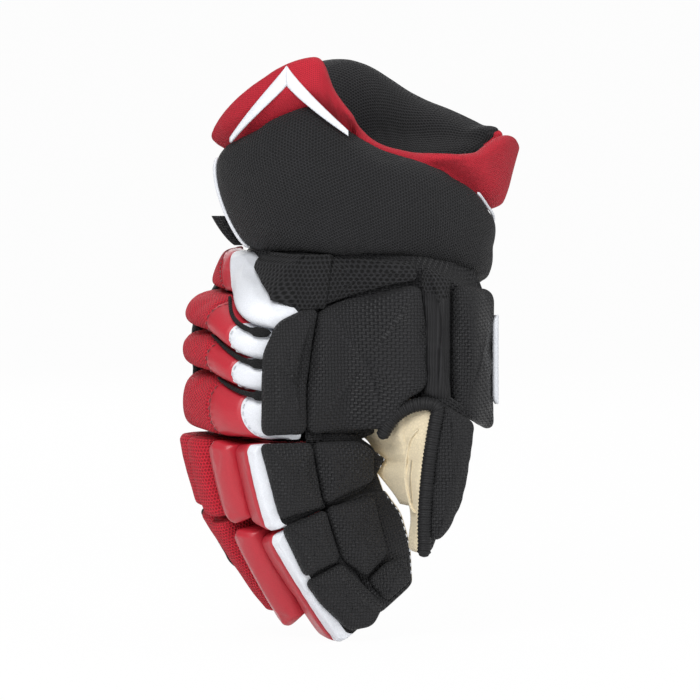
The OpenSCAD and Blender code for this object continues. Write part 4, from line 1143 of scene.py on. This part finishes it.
class GLOVE_OT_cuff(bpy.types.Operator):
    """Padded cuff roll, flaps, lining, chevron, piping and label"""

    bl_idname = "glove.cuff"
    bl_label = "Cuff"

    @staticmethod
    def lift(angle):
        """How far the red edge stands above its rim near the thumb, and below it near the palm."""
        return (4.0 * smooth((angle + 125) / 20) * smooth((-58 - angle) / 10)
                - 5.5 * smooth((angle - 108) / 28) * smooth((174 - angle) / 14))

    def roll(self):
        steps, rows = 130, []
        for i in range(steps + 1):
            t = i / steps
            angle = mix(ROLL_FROM, ROLL_TO, t)
            end = math.sqrt(1 - 0.7 * abs(2 * t - 1) ** 12)
            top, low = curve_at(ROLL_TOP, angle), curve_at(ROLL_LOW, angle)
            zc, hz = (top + low) / 2, (top - low) / 2
            ring = []
            for a in np.linspace(0, 180, 25):
                inset = CUFF_ROLL_T * (1 - max(0, sin(a)) ** 0.6 * end) + 0.8
                ring.append(cuff_point(angle, zc + hz * cos(a), inset))
            ring += [cuff_point(angle, zc + hz * s, CUFF_ROLL_T) for s in (-0.75, -0.4, 0, 0.4, 0.75)]
            rows.append(ring)
        piece = lofted("cuff_roll_cover", rows, ["Cuff mesh"])
        n = len(rows[0])
        piece["held"] = (points_at(n, range(steps + 1), (0, *range(24, n)))
                         + points_at(n, (0, 1, steps - 1, steps), range(n)))
        return stuffed(piece, "cuff", ["cuff_roll"], "mesh_black", 2.2, 0.5)

    def flap(self, node, start, stop, steps):
        rows = []
        for i in range(steps + 1):
            t = i / steps
            angle = mix(start, stop, t)
            end = 1 - 0.55 * abs(2 * t - 1) ** 40
            low = flap_low(angle) + 15 * smooth((-152 - angle) / 24)
            high = curve_at(RIM, angle) + self.lift(angle)
            ring, lip = [], 3.6
            for k in range(12):
                z = mix(low, high - lip, k / 11)
                ring.append(cuff_point(angle, z, flap_inset(angle, z) + FLAP_T / 2 * (1 - end)))
            edge = flap_inset(angle, high - lip)
            for k in range(1, 8):
                a = 180 * k / 8
                ring.append(cuff_point(angle, high - lip + lip * sin(a),
                                       edge + FLAP_T / 2 - FLAP_T / 2 * end * cos(a)))
            for k in range(11, -1, -1):
                z = mix(low, high - lip, k / 11)
                ring.append(cuff_point(angle, z, flap_inset(angle, z) + FLAP_T / 2 * (1 + end)))
            rows.append(ring)
        n, inner = len(rows[0]), 20
        piece = lofted(node + "_cover", rows, ["Red felt", "Cuff mesh"],
                       finish_of=lambda i, j: int(j >= inner))
        piece["held"] = (points_at(n, range(steps + 1), (0, n - 1))
                         + points_at(n, (0, steps), range(n)))
        return stuffed(piece, "cuff", [node], "red_mesh", 1.2, 0.4)

    def lining(self):
        rows, steps = [], 60
        for i in range(steps + 1):
            t = i / steps
            angle = mix(62, 175, t)
            end = max(0.06, 1 - abs(2 * t - 1) ** 8)
            rim = curve_at(RIM, angle) + self.lift(angle)
            low, high = mix(flap_low(angle), rim, 0.2), rim + 2.5 * end
            ring = []
            for k in range(16):
                a = 180 * k / 15
                z = mix(low, high, (1 - cos(a)) / 2)
                base = flap_inset(angle, min(z, high - 6)) + FLAP_T + FIT
                over = 6.5 * smooth((z - high + 7) / 6)
                ring.append(cuff_point(angle, z, base - over * (1 if k > 8 else 0)))
            for k in range(16):
                a = 180 - 180 * k / 15
                z = mix(low, high, (1 - cos(a)) / 2)
                base = flap_inset(angle, min(z, high - 6)) + FLAP_T + FIT
                ring.append(cuff_point(angle, z, base + 2.2 * LINING_T * end * max(0, sin(a)) ** 0.8))
            rows.append(ring)
        piece = lofted("cuff_lining_cover", rows, ["Cuff mesh"])
        n = len(rows[0])
        piece["held"] = (points_at(n, range(steps + 1), range(10))
                         + points_at(n, (0, steps), range(n)))
        return stuffed(piece, "cuff", ["cuff_lining"], "mesh_black", 2.5, 0.5)

    def back_lining(self):
        rows = []
        for i in range(41):
            t = i / 40
            angle = mix(-71, 34, t)
            end = max(0.1, 1 - abs(2 * t - 1) ** 8)
            low, high = flap_low(angle) - 1, curve_at(RIM, angle) - 1.5
            ring = []
            for k in range(24):
                a = 180 * k / 12
                z = mix(low, high, (1 - cos(a)) / 2)
                base = flap_inset(angle, z) + FLAP_T - 0.6
                fuller = 7.5 * end * max(0.0, -sin(a)) ** 0.25 if k > 12 else 0.0
                ring.append(cuff_point(angle, z, base + fuller))
            rows.append(ring)
        piece = lofted("cuff_back_lining", rows, ["Cuff mesh"])
        return stuffed(piece, "cuff", (), "mesh_black", rough=0.4)

    def chevron(self):
        """White chevron whose point is at the rim and whose legs run down to the roll."""
        point, face = -42, ((0, -0.3), (0, 0.9), (0.12, 1.5), (0.5, 1.7), (0.88, 1.5), (1, 0.9), (1, -0.3))
        pieces = []
        for leg, reach in ((1, -24), (2, 29)):
            foot = point + reach
            high, low = curve_at(RIM, point) - 0.8, curve_at(ROLL_TOP, foot) - 0.5
            rows = []
            for i in range(29):
                t = i / 28
                angle = point + reach * t
                top = mix(high, low, t ** 0.92)
                band = mix(11.5, 3.4, t)
                ring = []
                for share, stand in face:
                    z = top - band * share
                    ring.append(cuff_point(angle, z, PIPING_D / 2 - stand))
                rows.append(ring)
            pieces.append(lofted(f"cuff_chevron_leg_{leg}", rows, ["Smooth white"]))
        sewn_on(pieces[0], "cuff", ["cuff_chevron"], "white_pu")
        sewn_on(pieces[1], "cuff", (), "white_pu")

    def roll_face(self, angle, z):
        """Depth of the cuff roll's outer face at a height."""
        top, low = curve_at(ROLL_TOP, angle), curve_at(ROLL_LOW, angle)
        level = (z - (top + low) / 2) / ((top - low) / 2)
        return CUFF_ROLL_T * (1 - max(0.0, 1 - level * level) ** 0.3)

    def trim(self):
        for k, angle in enumerate((ROLL_FROM - 1.5, ROLL_TO + 1.5)):
            low, high = curve_at(ROLL_LOW, angle), curve_at(ROLL_TOP, angle)
            path = [cuff_point(angle, mix(low + 3, high - 3, i / 12), CUFF_ROLL_T * 0.6) for i in range(13)]
            sewn_on(cord(f"cuff_roll_piping_{k + 1}", path, PIPING_D, ["Smooth white"]), "cuff",
                    ["cuff_piping"] if k == 0 else (), "white_pu")
        # Piping that shows on the back of the roll, beside the label
        path = []
        for i in range(17):
            angle = mix(21, 8, i / 16)
            z = mix(curve_at(ROLL_TOP, angle) - 2, curve_at(ROLL_LOW, angle) + 1.5, i / 16)
            path.append(cuff_point(angle, z, self.roll_face(angle, z) - 0.8))
        sewn_on(cord("cuff_roll_back_piping", path, 2.2, ["Smooth white"]), "cuff", (), "white_pu")
        path = []
        for angle in np.linspace(-126, -170, 14):
            z = curve_at(ROLL_TOP, angle) - 1.5
            path.append(cuff_point(angle, z, self.roll_face(angle, z) - 0.6))
        sewn_on(cord("cuff_roll_top_piping", path, 1.8, ["Smooth white"]), "cuff", (), "white_pu")
        # Folded tab that stands out beside the piping
        section = ((0.0, -0.7), (0.5, -0.75), (0.9, -0.6), (1.0, 0.0), (0.9, 0.6), (0.5, 0.75), (0.0, 0.7))
        rows = []
        for i in range(13):
            z = curve_at(ROLL_LOW, 22) + 2.0 + 17 * i / 12
            angle = mix(20, 24, i / 12)
            deep = self.roll_face(angle, z)
            reach = mix(6.5, 9.5, i / 12)
            ring = []
            for out, turn in section:
                ring.append(cuff_point(angle + turn, z, deep + 1.5 - (reach + 1.5) * out))
            rows.append(ring)
        sewn_on(lofted("cuff_label_tab", rows, ["Woven black"]), "cuff", ["label_tab"], "woven_black")

    def execute(self, context):
        press([self.roll(), self.lining(), self.back_lining(),
               self.flap("cuff_back_flap", -69.5, 27.5, 64),
               self.flap("cuff_thumb_flap", -178, -67, 74),
               self.flap("cuff_little_flap", 28.5, 176, 98)])
        self.chevron()
        self.trim()
        refinish("cuff_insert", "Hard insert")
        return {"FINISHED"}


class GLOVE_OT_fingers(bpy.types.Operator):
    """Finger stalls, padded finger rolls, white strips, side pads and soft folds"""

    bl_idname = "glove.fingers"
    bl_label = "Fingers"
    split = -6.0  # seam between the index finger's white strip and its red roll
    # Height of the rolls at the middle joint and at each fingertip
    joint_back, tip_back = 64.0, (48.5, 54, 47, 46)
    # Ridge line of the index and middle finger's rolls, and the slopes on its two sides
    ridges, slopes = (-6.0, -2.0), ((0.06, 0.5), (0.3, 0.5))
    # Where each finger's first and second roll begin and end, as shares of the section
    ends = ((-0.07, 1.01, 0.0, 0.98), (-0.075, 0.99, 0.0, 0.865), (-0.06, 0.99, 0.0, 0.9),
            (-0.06, 0.99, 0.0, 0.95))

    @staticmethod
    def index_palm(part, s):
        """How much fuller the index finger is toward the thumb."""
        at = min(1.0, max(0.0, s))
        if part == 1:
            return 3.5 * smooth(at / 0.4) * smooth((1 - at) / 0.6)
        return 5.0 * smooth(at / 0.3) * smooth((1.1 - at) / 0.5)

    def ring(self, f, part, s, inset):
        tip = min(1.0, max(0.0, s)) if part == 2 else 0.0
        high = mix(STALL_BACK, STALL_BACK * BACK_TAPER, tip) - inset
        fuller = self.index_palm(part, s) if f == INDEX else 0.0
        low = -mix(FINGER_PALM, FINGER_PALM * PALM_TAPER, tip) - fuller + inset
        half = FINGER_HALF_W * mix(1, SIDE_TAPER, tip) - inset
        spots = stall_section(low, high, half, 5 - inset * 0.6)
        return spots, [(p[0], finger_y(f) + w, p[1]) for p, w in
                       ((finger_point(f, part, s, r), w) for r, w in spots)]

    def stall(self, f, part, body):
        outer = [self.ring(f, part, s, 0) for s in np.linspace(0, 1, 13)]
        spots = outer[0][0]
        outer = [r for _, r in outer]
        inner = [self.ring(f, part, s, LEATHER_T)[1] for s in np.linspace(0, 1 if part == 1 else 0.92, 9)]
        least = min(r for r, _ in spots) + 1.2
        palm = [r < least for r, _ in spots]
        name = f"{FINGERS[f]}_{'first' if part == 1 else 'second'}"
        if part == 1:
            rows, loop = outer + inner[::-1], True
        else:
            centre = np.array(outer[-1]).mean(0)
            way = along(TIP_TILT)
            tip = rounded_tip(outer[-1], centre, 3.0, (way[0], 0, way[1]))
            rows, loop = inner[::-1] + outer + tip, False
        split = 0 if part == 1 else len(inner)
        inside = (lambda i: i >= len(outer) - 1) if part == 1 else (lambda i: i < split)
        piece = lofted(name + "_stall_shell", rows, ["Lining black", "Palm leather", "Woven black"],
                       loop=loop, finish_of=lambda i, j: 0 if inside(i) else (1 if palm[j] else 2))
        return stuffed(piece, body, [name + "_stall"], "suede", rough=0.3)

    def fold(self, f, part):
        """Soft sleeve inside a fold, so that a bent finger stays closed."""
        finger, inset = FINGERS[f], LEATHER_T * 0.45
        if part == 1:
            rows = [self.ring(f, 1, s, inset)[1] for s in np.linspace(-0.22, 0.25, 9)]
            bodies = "hand", f"{finger}_first"
        else:
            rows = [self.ring(f, 1, s, inset)[1] for s in (0.75, 0.85, 0.93, 0.98)]
            rows += [self.ring(f, 2, s, inset)[1] for s in (0.01, 0.04, 0.08, 0.12)]
            bodies = f"{finger}_first", f"{finger}_second"
        least = min(r for r, _ in self.ring(f, 1, 0, inset)[0]) + 1.2
        palm = [r < least for r, _ in self.ring(f, 1, 0, inset)[0]]
        piece = lofted(f"{finger}_{'knuckle' if part == 1 else 'middle'}_fold", rows,
                       ["Lining black", "Palm leather"], caps=False, finish_of=lambda i, j: int(palm[j]))
        thicken(piece, 0.9)
        at = folds(f)[part - 1]
        way = along(0 if part == 1 else FOLD_TILT) * 5
        bend(piece, *bodies, (at[0] - way[0], 0, at[1] - way[1]), (at[0] + way[0], 0, at[1] + way[1]))

    def height(self, f, part, s, w):
        top = mix(FINGER_BACK, self.joint_back, s)
        if part == 2:
            top = mix(self.joint_back, self.tip_back[f], max(0.0, s) ** 1.15)
        if f > MIDDLE:
            return top - 6 * (abs(w) / FINGER_HALF_W) ** 2.5
        fall = w - self.ridges[f]
        slope = self.slopes[f][0 if fall > 0 else 1]
        return top - slope * (math.sqrt(fall * fall + 1.0) - 1.0)

    def roll(self, f, part, body, w0, w1, piece_name, node, label, slot):
        rows, steps = [], 34
        shares = [0, 0.025, 0.07] + [k / 20 for k in range(3, 18)] + [0.93, 0.975, 1]
        begin, end = self.ends[f][2 * part - 2:2 * part]
        roof = f <= MIDDLE

        def place(t, w):
            cut = (0.025, 0.06)[f] * (abs(w - self.ridges[f]) / FINGER_HALF_W) ** 1.4 if roof else 0.0
            return mix(begin + cut, end - cut, t)
        for i in range(steps + 1):
            t = mix(i / steps, smooth(i / steps), 0.6)
            d = min(t, 1 - t) * (52 if part == 1 else 78)
            chamfer = 3.4 * max(0.0, 1 - d / 4.5) ** 1.6
            ring = []
            for share in shares:
                w = mix(w0, w1, share)
                s = place(t, w)
                edge = (2.4 if roof else 3.6) * max(0.0, 1 - min(share, 1 - share) / 0.1) ** 2
                p = finger_point(f, part, s, self.height(f, part, s, w) - chamfer - edge - 0.5)
                ring.append((p[0], finger_y(f) + w, p[1]))
            base = mix(STALL_BACK, STALL_BACK * BACK_TAPER, t if part == 2 else 0.0) + FIT
            sides = []
            for w in (w1, w0):
                s = place(t, w)
                high = self.height(f, part, s, w) - chamfer - 2.9
                sides.append([(finger_point(f, part, s, mix(base, high, k)), w)
                              for k in (0.9, 0.8, 0.5, 0.0)])
            ring += [(p[0], finger_y(f) + w, p[1]) for p, w in sides[0]]
            for k in (5, 4, 3, 2, 1):
                p = finger_point(f, part, place(t, 0), base)
                ring.append((p[0], finger_y(f) + mix(w0, w1, k / 6), p[1]))
            ring += [(p[0], finger_y(f) + w, p[1]) for p, w in sides[1][::-1]]
            rows.append(ring)
        n, top = len(rows[0]), len(shares)
        finishes, finish_of = [label], None
        if label == "Smooth white":
            finishes, finish_of = [label, "Woven black"], (lambda i, j: int(top + 2 <= j < n - 1))
        piece = lofted(piece_name, rows, finishes, finish_of=finish_of)
        piece["held"] = (points_at(n, range(steps + 1), range(top, n))
                         + points_at(n, (0, steps), range(n)))
        return stuffed(piece, body, [node], slot, 0.7, 0.15 if roof else 0.4)

    def pads(self, f, part, body, sets, names, node):
        out = -1 if f == INDEX else 1
        made = []
        for name, corners in zip(names, sets):
            share = min(c[0] for c in corners) if part == 2 else 0
            face = finger_y(f) + out * (FINGER_HALF_W * mix(1, SIDE_TAPER, share) + FIT)
            outline = rounded_outline([finger_point(f, part, *c) for c in corners], 4, 84)
            piece = cushion(name, outline, SIDE_FOAM_T - 3.2,
                            lambda p, h, face=face: (p[0], face + out * h, p[1]),
                            ["Woven black"], 2.2, 4.6, grow=0.5)
            made.append(stuffed(piece, body, [node] if not made else (), "woven_black", 1.8))
        return made

    def execute(self, context):
        made = []
        for f, finger in enumerate(FINGERS):
            for part, section in ((1, "first"), (2, "second")):
                body = f"{finger}_{section}"
                made.append(self.stall(f, part, body))
                label, slot = ("Smooth red", "red_pu") if f < RING else ("Red knit", "red_mesh")
                w0 = self.split + 0.3 if f == INDEX else -FINGER_HALF_W
                made.append(self.roll(f, part, body, w0, FINGER_HALF_W, f"{body}_roll_cover",
                                      f"{body}_roll", label, slot))
        for part, body in ((1, "index_first"), (2, "index_second")):
            made.append(self.roll(INDEX, part, body, -FINGER_HALF_W, self.split - 0.3,
                                  f"{body}_white_strip", f"{body}_strip", "Smooth white", "white_pu"))
        made += self.pads(INDEX, 1, "index_first", [
            [(-0.07, 30.5), (-0.08, 62.5), (0.88, 56.5), (0.95, 28.5)],
            [(0.0, -9), (-0.07, 0), (-0.07, 29), (0.92, 26.5), (0.97, -7)]],
            ["index_knuckle_pad_back", "index_knuckle_pad_palm"], "index_knuckle_pads")
        made += self.pads(INDEX, 2, "index_second", [
            [(-0.02, 27.5), (-0.04, 56.5), (0.37, 53.5), (0.4, 29.5)],
            [(0.43, 29.5), (0.4, 54.5), (0.62, 50), (0.92, 40), (1.02, 25), (0.95, 13.5)],
            [(0.04, -4), (-0.02, 26), (0.41, 27.5), (0.65, 18), (0.6, 0)],
            [(0.7, -9), (0.67, 4), (0.69, 16.5), (0.95, 10.5), (0.95, -9)]],
            ["index_tip_pad_upper", "index_tip_pad_lower", "index_tip_pad_palm", "index_tip_pad_end"],
            "index_tip_pads")
        palm = FINGER_PALM / 3
        made += self.pads(LITTLE, 1, "little_first", [
            [(0.02, -palm), (0.02, FINGER_BACK - 8), (0.98, FINGER_BACK - 10), (0.98, -palm)]],
            ["little_first_side_cover"], "little_first_side_pad")
        made += self.pads(LITTLE, 2, "little_second", [
            [(0.02, -palm), (0.02, FINGER_BACK - 10), (0.6, FINGER_BACK - 16), (0.97, TIP_BACK * 0.83),
             (0.97, -palm)]],
            ["little_second_side_cover"], "little_second_side_pad")
        press(made)
        for f in range(4):
            for part in (1, 2):
                self.fold(f, part)
        for part, body in ((1, "index_first"), (2, "index_second")):
            row = []
            for s in np.linspace(0.04, 0.97, 30):
                tip = s if part == 2 else 0.0
                p = finger_point(INDEX, part, s, -mix(12.6, 10.4, tip) - self.index_palm(part, s))
                y = finger_y(INDEX) - FINGER_HALF_W * mix(1, SIDE_TAPER, tip)
                row.append(((p[0], y + 0.9, p[1]), (0.6, -1, 0)))
            threads(f"{body}_running_stitch", [row], "White thread", body)
        return {"FINISHED"}


class GLOVE_OT_thumb(bpy.types.Operator):
    """Thumb stall with its leather inner face, side pad, bindings, fold and insert"""

    bl_idname = "glove.thumb"
    bl_label = "Thumb"

    def ring(self, s, inset):
        at = min(1.0, max(0.0, s))
        spots = stall_section(self.edge(at) - 2.5 + inset, thumb_shift(at) + thumb_half(at) - inset,
                              thumb_side(at) - inset, 6 - inset * 0.6)
        return spots, [self.cover(s, q, w) for q, w in spots]

    def cover(self, s, q, w):
        """Point of the thumb's cover: its inner wall falls back behind the index finger."""
        at = min(1.0, max(0.0, s))
        left, middle = self.edge(at) - 2.5, thumb_shift(at)
        inner = smooth((middle - q) / (middle - left)) * min(1.0, max(0.0, w / thumb_side(at) + 1) / 2)
        x, z = thumb_point(s, q)
        x = mix(x, self.behind_finger(z), 0.62 * inner * smooth((0.95 - at) / 0.25))
        return x, -THUMB_OUT + w, z

    def behind_finger(self, z):
        return self.finger_side(z) + 1.2 - 8 * smooth((z + 188) / 10)

    def web(self):
        """Leather between the thumb and the palm."""
        rows = []
        for s in np.linspace(0.03, 0.72, 24):
            start = self.cover(s, self.edge(s) - 2.0, thumb_side(s) * 0.35)
            row = []
            for t in np.linspace(0, 1, 11):
                y = mix(start[1], mix(-37, -54, smooth((s - 0.4) / 0.32)), t)
                row.append((mix(start[0], self.behind_finger(start[2]), t ** 0.8), y, start[2]))
            rows.append(row)
        piece = lofted("thumb_web_leather", rows, ["Palm leather"], wrap=False)
        thicken(piece, 1.2, 0)
        apply_modifiers(piece)
        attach(piece, "thumb")
        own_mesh(piece)

    @staticmethod
    def finger_side(z):
        """Palm edge of the index finger at a height."""
        fuller = GLOVE_OT_fingers.index_palm
        edge = [finger_point(INDEX, 1, s, -FINGER_PALM - fuller(1, s)) for s in (0.0, 0.5, 1.0)]
        edge += [finger_point(INDEX, 2, s, -FINGER_PALM * 0.92 - fuller(2, s))
                 for s in (0.2, 0.4, 0.6, 0.8, 1.0)]
        return float(np.interp(-z, [-p[1] for p in edge], [p[0] for p in edge]))

    def edge(self, s):
        """Distance of the rolled binding's line toward the thumb's outer side."""
        return thumb_shift(s) - thumb_half(s) + mix(12.5, 8.6, s)

    def is_leather(self, spot, mid):
        q, w = spot
        near = w <= -9 and q < self.edge(0.0) + 2.5
        return near or (w > -9 and not (q > mid + 9 and w < 8))

    def fold(self):
        rows = [self.ring(s, 1.1)[1] for s in np.linspace(-0.08, 0.08, 11)]
        spots = self.ring(0, 1.1)[0]
        leather = [spot[1] > 4 and self.is_leather(spot, thumb_shift(0)) for spot in spots]
        piece = lofted("thumb_fold_sleeve", rows, ["Woven black", "Palm leather"], caps=False,
                       finish_of=lambda i, j: int(leather[j]))
        thicken(piece, 1.0)
        bend(piece, "hand", "thumb", (12, -74, -153), (11, -74, -167))

    def execute(self, context):
        outer = [self.ring(s, 0) for s in np.linspace(0, 1, 25)]
        spots = outer[0][0]
        outer = [r for _, r in outer]
        inner = [self.ring(s, LEATHER_T)[1] for s in np.linspace(0, 0.92, 15)]
        centre = np.array(outer[-1]).mean(0)
        tip = rounded_tip(outer[-1], centre, 3.5, (-0.12, 0, -0.99))
        rows = inner[::-1] + outer + tip
        leather = [self.is_leather(spot, thumb_shift(0)) for spot in spots]
        stall = lofted("thumb_stall_shell", rows, ["Lining black", "Palm leather", "Woven black"],
                       finish_of=lambda i, j: 0 if i < len(inner) else (1 if leather[j] else 2))
        stuffed(stall, "thumb", ["thumb_stall"], "suede", rough=0.45)
        face = -THUMB_OUT - THUMB_W / 2 - FIT
        corners = [thumb_point(s, self.edge(s) + 2.6) for s in (0.93, 0.6, 0.3, 0.0)]
        corners += [thumb_point(s, thumb_shift(s) + q * thumb_half(s)) for s, q in
                    ((0.0, 1.02), (0.25, 1.06), (0.5, 1.16), (0.7, 1.25), (0.86, 1.18), (0.95, 0.75))]
        pad = cushion("thumb_side_pad_cover", rounded_outline(corners, 5), SIDE_FOAM_T - 3.6,
                      lambda p, h: (p[0], face - h, p[1]), ["Woven black"], 2.2, 4.6)
        stuffed(pad, "thumb", ["thumb_side_pad"], "woven_black", 2.0)
        press([stall, pad])
        self.web()
        self.fold()
        path = []
        for s in np.linspace(0.03, 1.06, 14):
            p = thumb_point(s, self.edge(min(1.0, s)))
            path.append((p[0], -THUMB_OUT - thumb_side(min(1.0, s)) - BINDING_D / 2 + 2.2, p[1]))
        sewn_on(cord("thumb_edge_binding", path, BINDING_D, ["Ribbed binding"], 16, ribs=0.3), "thumb",
                ["thumb_binding"], "binding_black")
        path = [(-17.5, -66, -181), (-14.5, -69, -173.5), (-10.5, -72.5, -167), (-4.5, -78, -162),
                (2.5, -83.5, -160), (8, -87, -161.5), (10, -88, -166)]
        web = cord("web_edge_binding", path, BINDING_D, ["Ribbed binding"], 16, ribs=0.3)
        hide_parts("web_binding")
        bend(web, "hand", "thumb", (-6, -80, -160), (10, -88, -166))
        # Piped seam and dart on the leather
        seam = [(0.19, 0.26), (0.25, 0.45), (0.33, 0.62), (0.46, 0.72), (0.58, 0.73), (0.68, 0.7),
                (0.73, 0.6), (0.755, 0.45), (0.76, 0.28)]
        dart = [(0.4, 0.5), (0.56, 0.52), (0.7, 0.55)]
        for name, line, thick, label in (("thumb_leather_piping", seam, 1.9, "Palm leather"),
                                         ("thumb_leather_dart", dart, 0.9, "Leather thread")):
            path = []
            for s, deep in line:
                x, y, z = self.cover(s, self.edge(s) - 2.5, mix(-1, 1, deep) * thumb_side(s))
                path.append((x - 0.3, y - 0.2, z))
            sewn_on(cord(name, path, thick, [label], 10), "thumb", (), "suede")
        refinish("thumb_insert", "Smooth dark red")
        return {"FINISHED"}


class GLOVE_OT_palm(bpy.types.Operator):
    """Palm leather, thumb gusset, linings and walls"""

    bl_idname = "glove.palm"
    bl_label = "Palm and linings"

    def execute(self, context):
        for name, node, label, slot, voxel, fill in (
                ("palm_leather", "palm_panel", "Palm leather", "suede", 1.3, 0.1),
                ("palm_patch_leather", "palm_patch", "Patch leather", "suede", 0.9, 0.1),
                ("thenar_leather", "thenar_panel", "Palm leather", "suede", 1.3, 0.3),
                ("thumb_gusset_cloth", "thumb_gusset", "Woven black", "woven_black", 1.5, 0.2),
                ("thumb_wall_cloth", "thumb_side_wall", "Woven black", "woven_black", 1.5, 0.2),
                ("little_wall_cloth", "little_side_wall", "Woven black", "woven_black", 1.5, 0.2),
                ("back_liner_cloth", "back_liner", "Lining black", "suede", 1.5, 0.2),
                ("wrist_sleeve_cloth", "wrist_sleeve", "Lining black", "woven_black", 1.3, 0.1)):
            piece = from_node(name, node, label, voxel)
            uneven(piece, 0.25)
            sewn_on(piece, "hand", [node], slot)
        refinish("backhand_plate", "Hard insert")
        return {"FINISHED"}


class GLOVE_OT_stage(bpy.types.Operator):
    """Pale floor, soft studio lamps and the camera"""

    bl_idname = "glove.stage"
    bl_label = "Stage"

    def execute(self, context):
        scene = context.scene
        low = min(cad_box[0][2], cad_box[1][2])
        bpy.ops.mesh.primitive_plane_add(size=60, location=(0, 0, low - 0.004))
        floor = context.object
        floor.name = "studio_floor"
        material = bpy.data.materials.new("Studio floor")
        material.use_nodes = True
        tree = material.node_tree
        n = Nodes(tree)
        shader = next(x for x in tree.nodes if x.type == "BSDF_PRINCIPLED")
        shader.inputs["Base Color"].default_value = (*colours().floor, 1)
        shader.inputs["Roughness"].default_value = 0.9
        path = n.add("ShaderNodeLightPath")
        seen = n.math("MAXIMUM", path.outputs["Is Camera Ray"], path.outputs["Is Glossy Ray"])
        seen = n.math("MAXIMUM", seen, path.outputs["Is Transmission Ray"])
        glow = n.add("ShaderNodeEmission", {"Color": (1, 1, 1, 1), "Strength": 1.0})
        both = n.add("ShaderNodeMixShader", {0: n.math("MULTIPLY", seen, 0.97), 1: shader.outputs[0],
                                             2: glow.outputs[0]})
        output = next(x for x in tree.nodes if x.type == "OUTPUT_MATERIAL")
        tree.links.new(both.outputs[0], output.inputs["Surface"])
        floor.data.materials.append(material)

        world = bpy.data.worlds.new("Studio")
        scene.world = world
        world.use_nodes = True
        n = Nodes(world.node_tree)
        background = next(x for x in world.node_tree.nodes if x.type == "BACKGROUND")
        path = n.add("ShaderNodeLightPath")
        seen = n.math("MAXIMUM", path.outputs["Is Camera Ray"], path.outputs["Is Transmission Ray"])
        background.inputs["Color"].default_value = (1, 1, 1, 1)
        world.node_tree.links.new(n.math("ADD", 0.3, n.math("MULTIPLY", seen, 0.7)),
                                  background.inputs["Strength"])

        middle = Vector((-0.01, -0.02, -0.135))
        for name, way, far, size, watts in (("Key", (-0.8, -1.0, 0.9), 1.5, 0.9, 17),
                                            ("Fill", (0.9, -1.2, 0.25), 1.6, 1.2, 6),
                                            ("Top", (0.1, 0.1, 1.0), 1.4, 1.2, 6),
                                            ("Back", (0.3, 1.2, 0.5), 1.6, 1.2, 6)):
            lamp = bpy.data.lights.new(name, "AREA")
            lamp.energy, lamp.size, lamp.shape = watts, size, "DISK"
            lamp_object = bpy.data.objects.new(name, lamp)
            way = Vector(way).normalized()
            lamp_object.location = middle + way * far
            lamp_object.rotation_euler = (-way).to_track_quat("-Z", "Y").to_euler()
            scene.collection.objects.link(lamp_object)

        view = bpy.data.cameras.new("Camera")
        camera = bpy.data.objects.new("Camera", view)
        scene.collection.objects.link(camera)
        turn, rise, far = math.radians(-25), math.radians(5), 12.0
        aim_right, aim_up, view_wide = -0.00585, -0.13455, 0.4095
        right = Vector((math.cos(turn), math.sin(turn), 0))
        ahead = Vector((-math.sin(turn) * math.cos(rise), math.cos(turn) * math.cos(rise), -math.sin(rise)))
        up = right.cross(ahead)
        aim = right * aim_right + up * aim_up
        camera.location = aim - ahead * far
        camera.rotation_euler = ahead.to_track_quat("-Z", "Y").to_euler()
        view.sensor_width = 36
        view.lens = view.sensor_width * far / view_wide
        view.clip_end = 60
        scene.camera = camera
        scene.view_settings.view_transform = "Standard"
        return {"FINISHED"}


OPERATORS = (GLOVE_OT_back_rolls, GLOVE_OT_wrist_panels, GLOVE_OT_side_pads, GLOVE_OT_cuff,
             GLOVE_OT_fingers, GLOVE_OT_thumb, GLOVE_OT_palm, GLOVE_OT_stage)


class GLOVE_PT_pieces(bpy.types.Panel):
    """Lists the glove's pieces in the sidebar"""

    bl_idname = "GLOVE_PT_pieces"
    bl_label = "Padded hockey glove"
    bl_space_type = "VIEW_3D"
    bl_region_type = "UI"
    bl_category = "Glove"

    def draw(self, context):
        for operator in OPERATORS:
            self.layout.operator(operator.bl_idname)
        for group in (context.scene.glove_sizes, context.scene.glove_colours):
            box = self.layout.box()
            for key in group.__annotations__:
                box.prop(group, key)


CLASSES = (GloveColours, GloveSizes, *OPERATORS, GLOVE_PT_pieces)


def register():
    for cls in CLASSES:
        bpy.utils.register_class(cls)
    bpy.types.Scene.glove_colours = bpy.props.PointerProperty(type=GloveColours)
    bpy.types.Scene.glove_sizes = bpy.props.PointerProperty(type=GloveSizes)


def unregister():
    del bpy.types.Scene.glove_sizes
    del bpy.types.Scene.glove_colours
    for cls in reversed(CLASSES):
        bpy.utils.unregister_class(cls)


def main():
    register()
    for operator in OPERATORS:
        getattr(bpy.ops.glove, operator.bl_idname.split(".")[1])()


if __name__ == "__main__":
    main()
